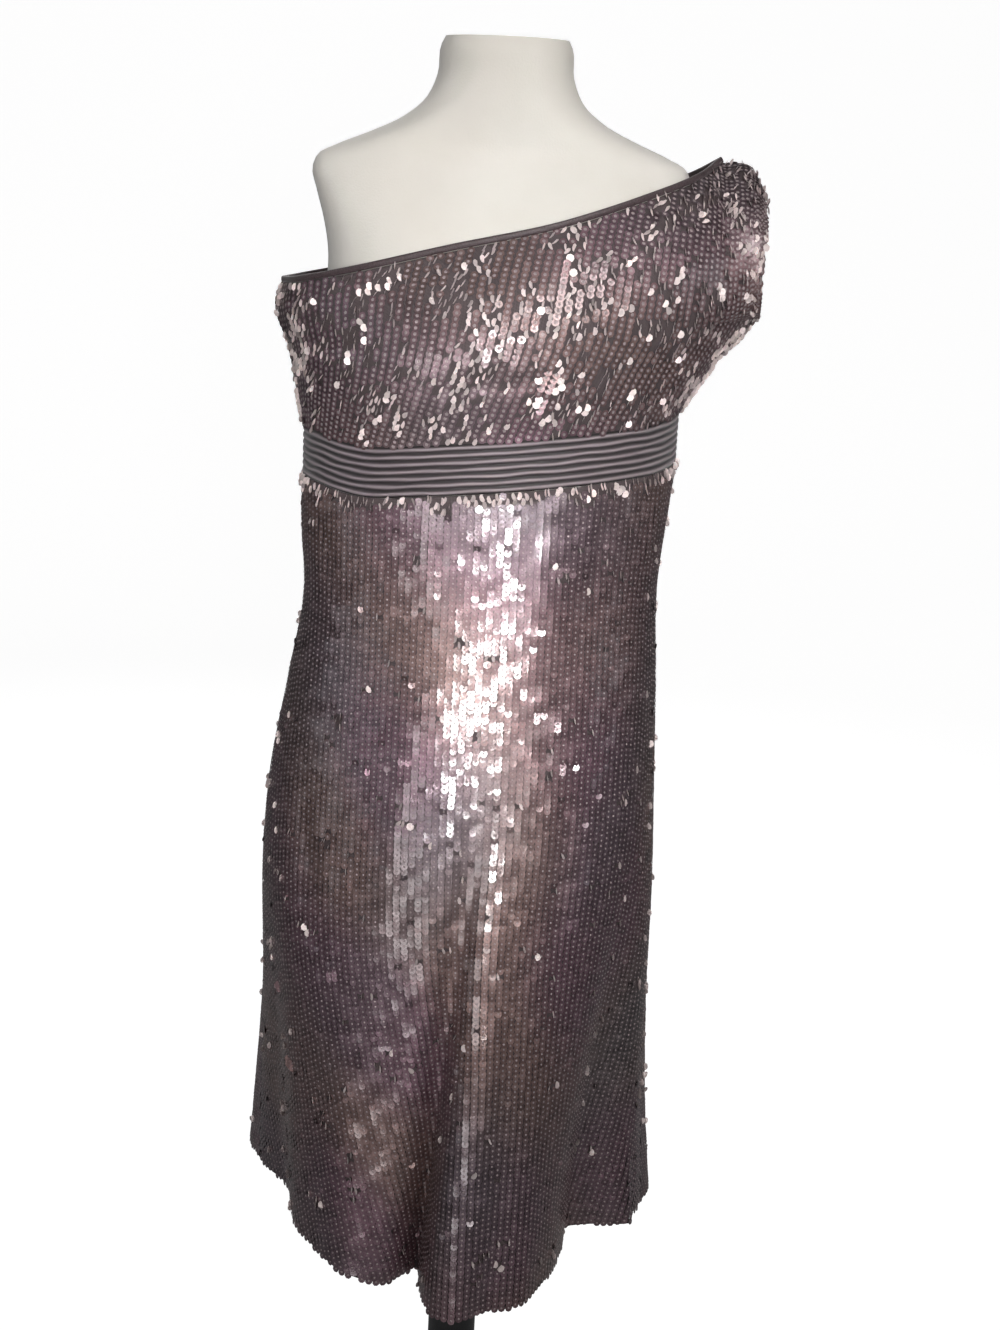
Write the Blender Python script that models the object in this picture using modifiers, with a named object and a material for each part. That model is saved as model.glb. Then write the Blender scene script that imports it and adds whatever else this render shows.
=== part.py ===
"""A one-shoulder cocktail dress on a limbless dress form with a pole stand.

Metres, +Z up.  The dress faces -Y and its one sleeve is on the +X side.  The origin is on the
floor, under the middle of the stand.  Every panel of the dress is a wall of cloth: its outer
points are worked out from the sizes and tables below, and its inner points lie one thickness
of cloth inside them.
"""
import math
from collections import namedtuple

import bpy
import numpy as np

# ---------------------------------------------------------------- driving dimensions (metres)
WAIST_HEIGHT = 1.145            # middle of the waistband above the floor, on the centre line
WAIST_RISE = 0.0080             # the band's plane on the centre line, over that height
WAIST_SLOPE = math.tan(math.radians(4.7))   # the band rises towards the sleeve
WAIST_DIP = 0.065               # and falls towards the front by this much in a metre
HEM_HEIGHT = 0.480              # skirt hem above the floor
HEM_LIFT = 0.028                # how much higher the hem hangs at the bare-shoulder side

CLOTH = 0.0018                  # sequinned net with its lining
SEAM_GAP = 0.0003               # between two pieces where they are sewn together

BAND_SIDE = 0.1490              # half width of the waistband over its ribs
BAND_DEPTH = 0.1090             # centre to front, and centre to back, of the waistband
RIB_COUNT = 7
RIB_PITCH = 0.0055
RIB_RISE = 0.0013
RIB_STEPS = 4                   # wall points up one rib
RIB_ROUNDNESS = 0.8             # below 1 the rib is fuller than half a sine wave
BAND_WALL = 0.0030              # inside of the band to the top of a rib
BAND_HEIGHT = RIB_COUNT * RIB_PITCH

BODICE_INSET = 0.0004           # the panels meet the band this far inside its ribs
BINDING_HEIGHT = 0.0050
BINDING_WALL = 0.0028
BINDING_FOLD = 0.25             # the top part of the binding's height that is rounded
BINDING_ROUND = 0.28            # part of its thickness that each face is rounded by

POLE_RADIUS = 0.021
POLE_SIDES = 32
BASE_RADIUS = 0.165
BASE_CROWN = 0.034              # radius of the flat middle of the base
BASE_RIM = 0.008                # upright edge of the base
BASE_HEIGHT = 0.030
BASE_CURVE = 1.7                # 1 is a cone from crown to rim, more is a fuller dome
BASE_STEPS = 5
BASE_SIDES = 40
FORM_BOTTOM = 0.362             # waist down to the flat underside of the form

PANEL_COLUMNS = {"bodice_front": 32, "bodice_back": 24, "band_front": 32, "band_back": 24,
                 "skirt_front": 50, "skirt_back": 38}
BODICE_ROWS = 14
SKIRT_ROWS = 17
FORM_COLUMNS = 28
EDGE_POINTS = 80                # points along a bodice edge before it is divided into columns
HEM_POINTS = 600                # points along half of the hem before it is divided
MOST_SLANT = 0.55               # least cosine between a wall's thickness and its seam's plane

# Level sections of the skirt: how far down from the waist, then the reach from the centre line
# to the bare-shoulder side, the sleeve side, the front and the back.
Section = namedtuple("Section", "drop bare sleeve front back")
SKIRT_SECTIONS = (
    Section(0.000, 0.1486, 0.1484, 0.1084, 0.1084),
    Section(0.045, 0.1478, 0.1440, 0.1075, 0.1100),
    Section(0.100, 0.1448, 0.1395, 0.1080, 0.1160),
    Section(0.180, 0.1560, 0.1435, 0.1170, 0.1300),
    Section(0.265, 0.1695, 0.1475, 0.1290, 0.1440),
    Section(0.350, 0.1750, 0.1515, 0.1390, 0.1500),
    Section(0.490, 0.1750, 0.1530, 0.1480, 0.1540),
    Section(0.580, 0.1765, 0.1550, 0.1540, 0.1570),
    Section(0.665, 0.1780, 0.1600, 0.1580, 0.1600),
)

# Folds of the skirt.  A bearing is in degrees round the dress: 0 is the middle of the front,
# +90 the sleeve side.  A fold starts at a fraction of the skirt's length with one bearing and
# reaches the hem at another; reach is how far it stands out (or in, below zero) at the hem.
FOLD_GROWTH = 1.25              # a fold deepens with this power of its length
Fold = namedtuple("Fold", "start bearing hem_bearing spread reach")
SKIRT_FOLDS = (
    Fold(0.45, -108, -106, 15, 0.016),
    Fold(0.50, -72, -70, 22, -0.024),
    Fold(0.55, -36, -29, 12, 0.009),
    Fold(0.34, 2, -12.5, 5.5, -0.040),
    Fold(0.40, 8, 0, 12, 0.036),
    Fold(0.50, 20, 16, 12, 0.018),
    Fold(0.50, 44, 46, 22, -0.030),
    Fold(0.42, 57, 64, 18, -0.046),
    Fold(0.86, 77, 76, 4, 0.014),
    Fold(0.50, 100, 101, 12, 0.014),
    Fold(0.48, 122, 124, 11, -0.026),
    Fold(0.42, 143, 144, 12, 0.020),
    Fold(0.55, 163, 166, 9, -0.024),
    Fold(0.46, 184, 186, 12, 0.022),
    Fold(0.52, 206, 203, 9, -0.025),
    Fold(0.44, 222, 224, 12, 0.017),
    Fold(0.50, 238, 240, 8, -0.016),
)

# How the waist seams waver over and under their plane: bearing in degrees, and metres up.
WAIST_WAVER = (
    (-180, 0.0000), (-150, 0.0010), (-120, -0.0012), (-90, 0.0000), (-65, 0.0012),
    (-40, -0.0038), (-15, -0.0005), (10, 0.0010), (35, 0.0008), (60, -0.0009),
    (90, 0.0000), (130, 0.0012), (155, -0.0008), (180, 0.0000),
)

# Edges of the bodice: across from the centre line, forward of it, and up from the waist.
Point = namedtuple("Point", "across forward rise")
FRONT_NECKLINE = (
    Point(-0.1673, 0.000, 0.1290),
    Point(-0.1500, 0.050, 0.1330),
    Point(-0.1130, 0.083, 0.1425),
    Point(-0.0350, 0.101, 0.1635),
    Point(0.0436, 0.101, 0.1830),
    Point(0.1020, 0.080, 0.2030),
    Point(0.1470, 0.043, 0.2210),
    Point(0.1671, 0.000, 0.2337),
)
BACK_NECKLINE = (
    Point(-0.1673, 0.000, 0.1290),
    Point(-0.1480, -0.056, 0.1310),
    Point(-0.1050, -0.094, 0.1390),
    Point(-0.0300, -0.111, 0.1570),
    Point(0.0500, -0.107, 0.1800),
    Point(0.1080, -0.084, 0.2020),
    Point(0.1500, -0.044, 0.2215),
    Point(0.1671, 0.000, 0.2337),
)
BARE_SIDE_SEAM = (
    Point(-0.1486, 0.000, 0.0153),
    Point(-0.1520, 0.000, 0.0330),
    Point(-0.1615, 0.000, 0.0800),
    Point(-0.1712, 0.000, 0.1130),
    Point(-0.1673, 0.000, 0.1290),
)
SLEEVE_SIDE_SEAM = (
    Point(0.1486, 0.000, 0.0398),
    Point(0.1557, 0.000, 0.0510),
    Point(0.1640, 0.000, 0.0625),
    Point(0.1770, 0.000, 0.0810),
    Point(0.1910, 0.000, 0.0960),
    Point(0.2035, 0.000, 0.1120),
)
SHOULDER_SEAM = (
    Point(0.1671, 0.000, 0.2337),
    Point(0.1787, 0.000, 0.2334),
    Point(0.1882, 0.000, 0.2305),
    Point(0.1968, 0.000, 0.2193),
    Point(0.2035, 0.000, 0.2069),
)
SLEEVE_BULGE = -0.0050          # the sleeve hem draws in between its top and bottom
FRONT_SLEEVE_DEPTH = 0.058
BACK_SLEEVE_DEPTH = 0.064
NECK_SHARE = 0.84               # part of a bodice panel's top edge that is neckline
SEAM_SHARE = 0.44               # part of its sleeve-side edge that is side seam
NECK_TURN = 0.20                # part of the neckline that leans over the shoulder
NECK_LEAN = 0.35                # how far it leans from upright to level at the shoulder seam
TOP_FADE = 4.0                  # how fast the bend of each edge fades across a bodice panel
BARE_FADE = 2.0
SLEEVE_FADE = (3.0, 5.0, 3.0)   # across, forward and up
BUST_FULLNESS = 0.020
BLADE_FULLNESS = 0.012
SHOULDER_FULLNESS = 0.010       # rounds both panels over the top of the shoulder
FULLNESS_FADE = 1.2             # how softly bust and blades fade to the edges of a panel

# Level sections of the form: up from the waist, then half width, front and back reach, and
# how square the section is (1 is an ellipse, less is squarer).
FormSection = namedtuple("FormSection", "rise side front back squareness")
FORM_SECTIONS = (
    FormSection(-0.362, 0.120, 0.088, 0.090, 1.00),
    FormSection(-0.357, 0.137, 0.104, 0.106, 1.00),
    FormSection(-0.342, 0.1445, 0.112, 0.117, 1.00),
    FormSection(-0.300, 0.1445, 0.117, 0.126, 1.00),
    FormSection(-0.240, 0.142, 0.115, 0.128, 1.00),
    FormSection(-0.170, 0.1375, 0.109, 0.120, 1.00),
    FormSection(-0.100, 0.134, 0.102, 0.109, 1.00),
    FormSection(-0.050, 0.1375, 0.1015, 0.1035, 1.00),
    FormSection(-0.022, 0.1432, 0.1045, 0.1045, 1.00),
    FormSection(-0.004, 0.1452, 0.1052, 0.1052, 1.00),
    FormSection(0.028, 0.145, 0.105, 0.105, 1.00),
    FormSection(0.058, 0.143, 0.110, 0.104, 1.00),
    FormSection(0.095, 0.139, 0.113, 0.104, 1.00),
    FormSection(0.125, 0.133, 0.101, 0.099, 0.94),
    FormSection(0.150, 0.132, 0.086, 0.092, 0.86),
    FormSection(0.175, 0.136, 0.072, 0.082, 0.78),
    FormSection(0.197, 0.142, 0.058, 0.069, 0.70),
    FormSection(0.212, 0.1455, 0.048, 0.058, 0.66),
    FormSection(0.222, 0.142, 0.043, 0.051, 0.68),
    FormSection(0.230, 0.128, 0.041, 0.048, 0.74),
    FormSection(0.241, 0.102, 0.042, 0.048, 0.84),
    FormSection(0.254, 0.076, 0.044, 0.049, 0.94),
    FormSection(0.268, 0.060, 0.046, 0.049, 1.00),
    FormSection(0.286, 0.052, 0.045, 0.048, 1.00),
    FormSection(0.307, 0.050, 0.044, 0.047, 1.00),
    FormSection(0.313, 0.047, 0.041, 0.044, 1.00),
)

MATERIALS = {
    "sequin_net": ((0.085, 0.062, 0.064, 1.0), 0.38, 0.35),
    "band_satin": ((0.205, 0.165, 0.172, 1.0), 0.42, 0.05),
    "binding_satin": ((0.045, 0.035, 0.038, 1.0), 0.40, 0.05),
    "form_jersey": ((0.780, 0.740, 0.670, 1.0), 0.85, 0.00),
    "stand_black": ((0.012, 0.012, 0.014, 1.0), 0.35, 0.60),
}


# ---------------------------------------------------------------- scene, materials and meshes
def clear_scene():
    """Remove the objects that the open file holds."""
    for old in list(bpy.data.objects):
        bpy.data.objects.remove(old, do_unlink=True)


def make_material(name):
    """A Principled material with the finish's colour, roughness and metallic value."""
    colour, roughness, metallic = MATERIALS[name]
    material = bpy.data.materials.new(name)
    material.use_nodes = True
    shader = material.node_tree.nodes["Principled BSDF"]
    shader.inputs["Base Color"].default_value = colour
    shader.inputs["Roughness"].default_value = roughness
    shader.inputs["Metallic"].default_value = metallic
    material.diffuse_color = colour
    return material


def finish_object(thing, name, material, collection, smooth_angle=40):
    """Name an object, give it its material, shade it and put it in the dress collection."""
    thing.name = name
    thing.data.name = name
    thing.data.materials.clear()
    thing.data.materials.append(material)
    thing.data.shade_smooth()
    thing.data.set_sharp_from_angle(angle=math.radians(smooth_angle))
    for old_collection in list(thing.users_collection):
        old_collection.objects.unlink(thing)
    collection.objects.link(thing)
    return thing


def strip_faces(first, second):
    """Quads between two equally long lines of vertex numbers."""
    return np.stack([first[:-1], first[1:], second[1:], second[:-1]], axis=-1).reshape(-1, 4)


def wall_object(name, outer, inner, material, collection):
    """A closed wall between an outer and an inner grid of points (rows, columns, xyz).

    Rows run upwards and columns run so that the outer faces look outwards.  The grids have
    the same columns.  Where they have unlike rows, each end is closed by one flat face.
    """
    rows, columns = outer.shape[:2]
    inner_rows = inner.shape[0]
    front = np.arange(rows * columns).reshape(rows, columns)
    behind = np.arange(inner_rows * columns).reshape(inner_rows, columns) + rows * columns
    faces = []
    for grid, turned in ((front, False), (behind, True)):
        for lower, upper in zip(grid[:-1], grid[1:]):
            quads = strip_faces(lower, upper)
            faces += (quads[:, ::-1] if turned else quads).tolist()
    faces += strip_faces(behind[0], front[0]).tolist()
    faces += strip_faces(front[-1], behind[-1]).tolist()
    if rows == inner_rows:
        faces += strip_faces(front[:, 0], behind[:, 0]).tolist()
        faces += strip_faces(behind[:, -1], front[:, -1]).tolist()
    else:
        faces.append(front[:, 0].tolist() + behind[::-1, 0].tolist())
        faces.append(front[::-1, -1].tolist() + behind[:, -1].tolist())
    mesh = bpy.data.meshes.new(name)
    points = np.concatenate([outer.reshape(-1, 3), inner.reshape(-1, 3)])
    mesh.from_pydata(points.tolist(), [], faces)
    mesh.validate()
    return finish_object(bpy.data.objects.new(name, mesh), name, material, collection)


# ---------------------------------------------------------------- curves and grids
def smooth_values(knots, values, at):
    """A smooth curve through (knot, value) pairs, with Catmull-Rom slopes at the knots."""
    knots = np.asarray(knots, dtype=float)
    values = np.asarray(values, dtype=float)
    slopes = np.gradient(values, knots, axis=0)
    place = np.clip(np.searchsorted(knots, at, side="right") - 1, 0, len(knots) - 2)
    width = knots[place + 1] - knots[place]
    t = (at - knots[place]) / width
    if values.ndim > 1:
        width = width[:, None]
        t = t[:, None]
    start = values[place] * (2 * t ** 3 - 3 * t ** 2 + 1)
    start += slopes[place] * width * (t ** 3 - 2 * t ** 2 + t)
    end = values[place + 1] * (3 * t ** 2 - 2 * t ** 3)
    end += slopes[place + 1] * width * (t ** 3 - t ** 2)
    return start + end


def edge_points(table, count):
    """Evenly spaced points on the smooth curve through a table of bodice points."""
    corners = np.array([(p.across, -p.forward, WAIST_HEIGHT + p.rise) for p in table])
    lengths = np.linalg.norm(np.diff(corners, axis=0), axis=1)
    travelled = np.concatenate([[0.0], np.cumsum(lengths)])
    return smooth_values(travelled, corners, np.linspace(0.0, travelled[-1], count))


def resample(points, count):
    """The same line of points with another number of evenly spaced points."""
    lengths = np.linalg.norm(np.diff(points, axis=0), axis=1)
    travelled = np.concatenate([[0.0], np.cumsum(lengths)])
    wanted = np.linspace(0.0, travelled[-1], count)
    return np.stack([np.interp(wanted, travelled, points[:, axis]) for axis in range(3)], axis=1)


def level_ring(bearings, bare, sleeve, front, back, squareness=1.0):
    """Points x, y of a level section with a reach of its own on each of four sides.

    A squareness of 1 makes quarters of ellipses; a smaller one pushes their corners out.
    """
    across = np.sin(bearings)
    ahead = np.cos(bearings)
    x = np.where(across > 0, sleeve, bare) * np.sign(across) * np.abs(across) ** squareness
    y = -np.where(ahead > 0, front, back) * np.sign(ahead) * np.abs(ahead) ** squareness
    return x, y


def inward_ways(grid, side):
    """Unit vectors into the cloth at each point of a grid (rows up, columns along).

    Columns run from the bare side to the sleeve side on both halves of the dress.
    """
    up = np.gradient(grid, axis=0)
    along = np.gradient(grid, axis=1)
    ways = np.cross(up, along)
    if side == "back":
        ways = -ways
    return ways / np.linalg.norm(ways, axis=2, keepdims=True)


def step_in(grid, ways, turned_ways):
    """Inner points of a wall: the turned ways are used, and lengthened to keep its thickness."""
    turned = turned_ways / np.linalg.norm(turned_ways, axis=2, keepdims=True)
    facing = np.clip(np.sum(turned * ways, axis=2, keepdims=True), MOST_SLANT, 1.0)
    return grid + turned * CLOTH / facing


def waist_lift(x, y):
    """How far the waist seam at a place is over the waist's height: a plane that rises to the
    sleeve and falls to the front, and a waver that goes by the bearing."""
    bearing = np.degrees(np.arctan2(x / BAND_SIDE, -y / BAND_DEPTH))
    knots, wavers = np.array(WAIST_WAVER).T
    return WAIST_RISE + WAIST_SLOPE * x + WAIST_DIP * y + smooth_values(knots, wavers, bearing)


def waist_row(inner, outer):
    """Put the inner points of a waist seam on the seam's own slope."""
    inner[:, 2] = outer[:, 2] + waist_lift(*inner[:, :2].T) - waist_lift(*outer[:, :2].T)


def panel_object(name, side, outer, inner, material, collection):
    """A wall from grids whose columns run from the bare side to the sleeve side."""
    if side == "back":
        outer = outer[:, ::-1]
        inner = inner[:, ::-1]
    wall_object(name, seam_side(outer, side), seam_side(inner, side), material, collection)


def seam_side(grid, side):
    """Keep a panel on its own side of the seams, which lie in the plane y = 0."""
    half_gap = SEAM_GAP / 2
    if side == "front":
        grid[..., 1] = np.minimum(grid[..., 1], -half_gap)
    else:
        grid[..., 1] = np.maximum(grid[..., 1], half_gap)
    return grid


def side_bearings(side, columns):
    """Even bearings of the front or the back half, from the bare side to the sleeve side."""
    turn = 180 if side == "front" else -180
    return np.radians(np.linspace(-90, -90 + turn, columns + 1))


# ---------------------------------------------------------------- waistband
def make_waistband(side, material, collection):
    """Half of the tucked waistband: rounded ribs outside, plain inside."""
    columns = PANEL_COLUMNS["band_" + side]
    bearings = side_bearings(side, columns)
    across_rib = np.arange(RIB_COUNT * RIB_STEPS + 1) / RIB_STEPS
    rib = RIB_RISE * np.abs(np.sin(np.pi * across_rib)) ** RIB_ROUNDNESS
    heights = across_rib * RIB_PITCH - BAND_HEIGHT / 2
    inset = RIB_RISE - rib
    rows = []
    for height, inward in zip(heights, inset):
        side_reach = BAND_SIDE - inward
        depth_reach = BAND_DEPTH - inward
        rows.append(band_row(bearings, side_reach, depth_reach, height))
    plain = []
    for height in (heights[0], heights[-1]):
        plain.append(band_row(bearings, BAND_SIDE - BAND_WALL, BAND_DEPTH - BAND_WALL, height))
    panel_object("waistband_" + side, side, np.array(rows), np.array(plain), material,
                 collection)


def band_row(bearings, side_reach, depth_reach, height):
    """One line of points round half of the waistband, with the lift of the waist."""
    x, y = level_ring(bearings, side_reach, side_reach, depth_reach, depth_reach)
    z = WAIST_HEIGHT + height + waist_lift(x, y)
    return np.stack([x, y, z], axis=1)


# ---------------------------------------------------------------- skirt
def fold_reach(bearings, fraction):
    """How far the folds move the cloth out, at each bearing and fraction of the length."""
    total = np.zeros(np.broadcast(bearings, fraction).shape)
    for fold in SKIRT_FOLDS:
        grown = np.clip((fraction - fold.start) / (1 - fold.start), 0, 1)
        middle = fold.bearing + (fold.hem_bearing - fold.bearing) * grown
        away = (np.degrees(bearings) - middle + 180) % 360 - 180
        across = np.exp(-2 * (away / fold.spread) ** 2)
        total += fold.reach * grown ** FOLD_GROWTH * across
    return total


def skirt_surface(bearings, fraction):
    """Outer points of the skirt at arrays of bearing (radians) and fraction of the length."""
    drops = [s.drop for s in SKIRT_SECTIONS]
    drop = fraction * (WAIST_HEIGHT - HEM_HEIGHT)
    reaches = [smooth_values(drops, [getattr(s, name) for s in SKIRT_SECTIONS], drop)
               for name in ("bare", "sleeve", "front", "back")]
    x, y = level_ring(bearings, *reaches)
    plan = np.hypot(x, y)
    growth = 1 + fold_reach(bearings, fraction) / plan
    x = x * growth
    y = y * growth
    top = WAIST_HEIGHT - BAND_HEIGHT / 2 - SEAM_GAP + waist_lift(x, y)
    bare_side = np.clip(-x / BAND_SIDE, 0, 1)
    hem = HEM_HEIGHT + HEM_LIFT * bare_side ** 2
    z = top + (hem - top) * fraction
    return np.stack([x, y, z], axis=-1)


def hem_bearings(side, columns):
    """Bearings that space the columns of a skirt panel by the length of its hem."""
    fine = side_bearings(side, HEM_POINTS)
    hem = skirt_surface(fine, np.ones_like(fine))
    lengths = np.linalg.norm(np.diff(hem, axis=0), axis=1)
    travelled = np.concatenate([[0.0], np.cumsum(lengths)])
    return np.interp(np.linspace(0, travelled[-1], columns + 1), travelled, fine)


def make_skirt(side, material, collection):
    """The front or back skirt panel, from the hem up to the waistband."""
    bearings = hem_bearings(side, PANEL_COLUMNS["skirt_" + side])
    fractions = np.linspace(1.0, 0.0, SKIRT_ROWS + 1)
    outer = np.array([skirt_surface(bearings, np.full_like(bearings, f)) for f in fractions])
    ways = inward_ways(outer, side)
    turned = ways.copy()
    turned[[0, -1], :, 2] = 0.0
    turned[:, [0, -1], 1] = 0.0
    inner = step_in(outer, ways, turned)
    waist_row(inner[-1], outer[-1])
    panel_object("skirt_" + side, side, outer, inner, material, collection)


# ---------------------------------------------------------------- bodice
def sleeve_hem(side, count):
    """The sleeve hem of one panel: half an oval from the underarm up to the shoulder."""
    under = SLEEVE_SIDE_SEAM[-1]
    top = SHOULDER_SEAM[-1]
    depth = -FRONT_SLEEVE_DEPTH if side == "front" else BACK_SLEEVE_DEPTH
    turn = np.linspace(0, np.pi, count)
    climb = 0.5 * (1 - np.cos(turn))
    x = under.across + (top.across - under.across) * climb + SLEEVE_BULGE * np.sin(turn)
    z = WAIST_HEIGHT + under.rise + (top.rise - under.rise) * climb
    return np.stack([x, depth * np.sin(turn), z], axis=1)


def neckline_frame(side, count):
    """Along one half of the neckline: its points, the way to the free edge and the way out.

    The way to the edge is up over the chest and leans towards the neck on the shoulder.
    """
    table = FRONT_NECKLINE if side == "front" else BACK_NECKLINE
    line = resample(edge_points(table, EDGE_POINTS), count)
    t = np.clip((np.linspace(0, 1, count) - 1 + NECK_TURN) / NECK_TURN, 0, 1)
    turned = NECK_LEAN * (t * t * (3 - 2 * t))[:, None]
    to_edge = (1 - turned) * np.array([0.0, 0.0, 1.0]) + turned * np.array([-1.0, 0.0, 0.0])
    heading = np.gradient(line, axis=0)
    heading /= np.linalg.norm(heading, axis=1, keepdims=True)
    to_edge -= np.sum(to_edge * heading, axis=1, keepdims=True) * heading
    to_edge[[0, -1], 1] = 0.0
    to_edge /= np.linalg.norm(to_edge, axis=1, keepdims=True)
    outward = np.cross(heading, to_edge)
    if side == "back":
        outward = -outward
    outward[[0, -1], 1] = 0.0
    outward /= np.linalg.norm(outward, axis=1, keepdims=True)
    return line, to_edge, outward


def bend_to(line, start, end):
    """Shift a line of points so that it runs from start to end exactly."""
    t = np.linspace(0, 1, len(line))[:, None]
    return line + (1 - t) * (start - line[0]) + t * (end - line[-1])


def without_corner(line):
    """A line of points between the same ends that follows the given one without a corner."""
    t = np.linspace(0, 1, len(line))
    cubic = [np.polyval(np.polyfit(t, line[:, axis], 3), t) for axis in range(3)]
    return bend_to(np.stack(cubic, axis=1), line[0], line[-1])


def blended_patch(bottom, top, bare_side, sleeve_side):
    """A surface of straight lines from bottom to top, bent near its other edges.

    Each edge's bend, its departure from the plain surface, is added with a weight that is 1
    on that edge and fades across the panel.
    """
    u = np.linspace(0, 1, len(bottom))[None, :, None]
    v = np.linspace(0, 1, len(bare_side))[:, None, None]
    plain_top = without_corner(top)
    patch = (1 - v) * bottom[None] + v * plain_top[None]
    patch = patch + v ** TOP_FADE * (top - plain_top)[None]
    bare_bend = bare_side[:, None] - patch[:, :1]
    sleeve_bend = sleeve_side[:, None] - patch[:, -1:]
    return patch + (1 - u) ** BARE_FADE * bare_bend + u ** np.array(SLEEVE_FADE) * sleeve_bend


def bodice_surface(side):
    """Outer points of a bodice panel, from the waistband up to the binding and shoulder."""
    columns = PANEL_COLUMNS["bodice_" + side]
    waist = band_row(side_bearings(side, columns), BAND_SIDE - BODICE_INSET,
                     BAND_DEPTH - BODICE_INSET, BAND_HEIGHT / 2 + SEAM_GAP)
    line, to_edge, _ = neckline_frame(side, neck_columns(side) + 1)
    neckline = line - to_edge * (BINDING_HEIGHT + SEAM_GAP)
    shoulder = edge_points(SHOULDER_SEAM, EDGE_POINTS)
    shoulder = resample(shoulder, columns - neck_columns(side) + 1)
    shoulder = bend_to(shoulder, neckline[-1], shoulder[-1])
    top = np.concatenate([neckline, shoulder[1:]])
    bare_side = resample(edge_points(BARE_SIDE_SEAM, EDGE_POINTS), BODICE_ROWS + 1)
    under_rows = seam_rows()
    under = resample(edge_points(SLEEVE_SIDE_SEAM, EDGE_POINTS), under_rows + 1)
    hem = resample(sleeve_hem(side, EDGE_POINTS), BODICE_ROWS - under_rows + 1)
    sleeve_side = np.concatenate([under, hem[1:]])
    bare_side = bend_to(bare_side, waist[0], top[0])
    sleeve_side[:under_rows + 1] = bend_to(under, waist[-1], under[-1])
    patch = blended_patch(waist, top, bare_side, sleeve_side)
    u = np.linspace(0, 1, columns + 1)[None, :]
    v = np.linspace(0, 1, BODICE_ROWS + 1)[:, None]
    fullness = BUST_FULLNESS if side == "front" else BLADE_FULLNESS
    fullness = fullness * (np.sin(np.pi * u) * np.sin(np.pi * v)) ** FULLNESS_FADE
    fullness += SHOULDER_FULLNESS * (u ** 3 * (1 - u ** 4)) * np.sin(np.pi * v ** 2)
    patch[..., 1] += -fullness if side == "front" else fullness
    return patch


def neck_columns(side):
    """Columns of a bodice panel that end at the neckline; the others end at the shoulder."""
    return int(round(NECK_SHARE * PANEL_COLUMNS["bodice_" + side]))


def seam_rows():
    """Rows of a bodice panel that end at the underarm seam; the others end at the sleeve hem."""
    return int(round(SEAM_SHARE * BODICE_ROWS))


def make_bodice(side, material, collection):
    """The front or back bodice panel, cut in one with its half of the short sleeve."""
    outer = bodice_surface(side)
    ways = inward_ways(outer, side)
    turned = ways.copy()
    turned[0, :, 2] = 0.0
    turned[:, 0, 1] = 0.0
    turned[:seam_rows() + 1, -1, 1] = 0.0
    turned[-1, neck_columns(side):, 1] = 0.0
    _, _, outward = neckline_frame(side, neck_columns(side) + 1)
    turned[-1, :neck_columns(side) + 1] = -outward
    inner = step_in(outer, ways, turned)
    waist_row(inner[0], outer[0])
    panel_object("bodice_" + side, side, outer, inner, material, collection)


# ---------------------------------------------------------------- neckline binding
def make_binding(side, material, collection):
    """The folded satin strip along one half of the neckline, rounded at its free edge."""
    line, to_edge, outward = neckline_frame(side, neck_columns(side) + 1)
    proud = (BINDING_WALL - CLOTH) / 2
    outer = []
    inner = []
    for down, narrowed in ((1.0, 0.0), (BINDING_FOLD, 0.0), (0.0, BINDING_ROUND)):
        edge = line - to_edge * BINDING_HEIGHT * down
        outer.append(edge + outward * (proud - BINDING_WALL * narrowed))
        inner.append(edge + outward * (proud - BINDING_WALL * (1 - narrowed)))
    panel_object("neck_binding_" + side, side, np.array(outer), np.array(inner), material,
                 collection)


# ---------------------------------------------------------------- dress form and stand
def make_form(material, collection):
    """The smooth limbless torso: level rings, closed flat below and at the neck."""
    bearings = np.radians(np.arange(FORM_COLUMNS) * 360 / FORM_COLUMNS)
    points = []
    for section in FORM_SECTIONS:
        x, y = level_ring(bearings, section.side, section.side, section.front, section.back,
                          section.squareness)
        z = np.full_like(x, WAIST_HEIGHT + section.rise)
        points.append(np.stack([x, y, z], axis=1))
    rings = np.arange(len(FORM_SECTIONS) * FORM_COLUMNS).reshape(-1, FORM_COLUMNS)
    closed = np.concatenate([rings, rings[:, :1]], axis=1)
    faces = [quad for lower, upper in zip(closed[:-1], closed[1:])
             for quad in strip_faces(lower, upper).tolist()]
    faces.append(rings[0, ::-1].tolist())
    faces.append(rings[-1].tolist())
    mesh = bpy.data.meshes.new("form_torso")
    mesh.from_pydata(np.concatenate(points).tolist(), [], faces)
    mesh.validate()
    finish_object(bpy.data.objects.new("form_torso", mesh), "form_torso", material, collection)


def make_pole(material, collection):
    """The round pole from the base up to the underside of the form."""
    low = BASE_HEIGHT + SEAM_GAP
    high = WAIST_HEIGHT - FORM_BOTTOM - SEAM_GAP
    bpy.ops.mesh.primitive_cylinder_add(vertices=POLE_SIDES, radius=POLE_RADIUS,
                                        depth=high - low, location=(0, 0, (low + high) / 2))
    finish_object(bpy.context.object, "stand_pole", material, collection)


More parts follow.
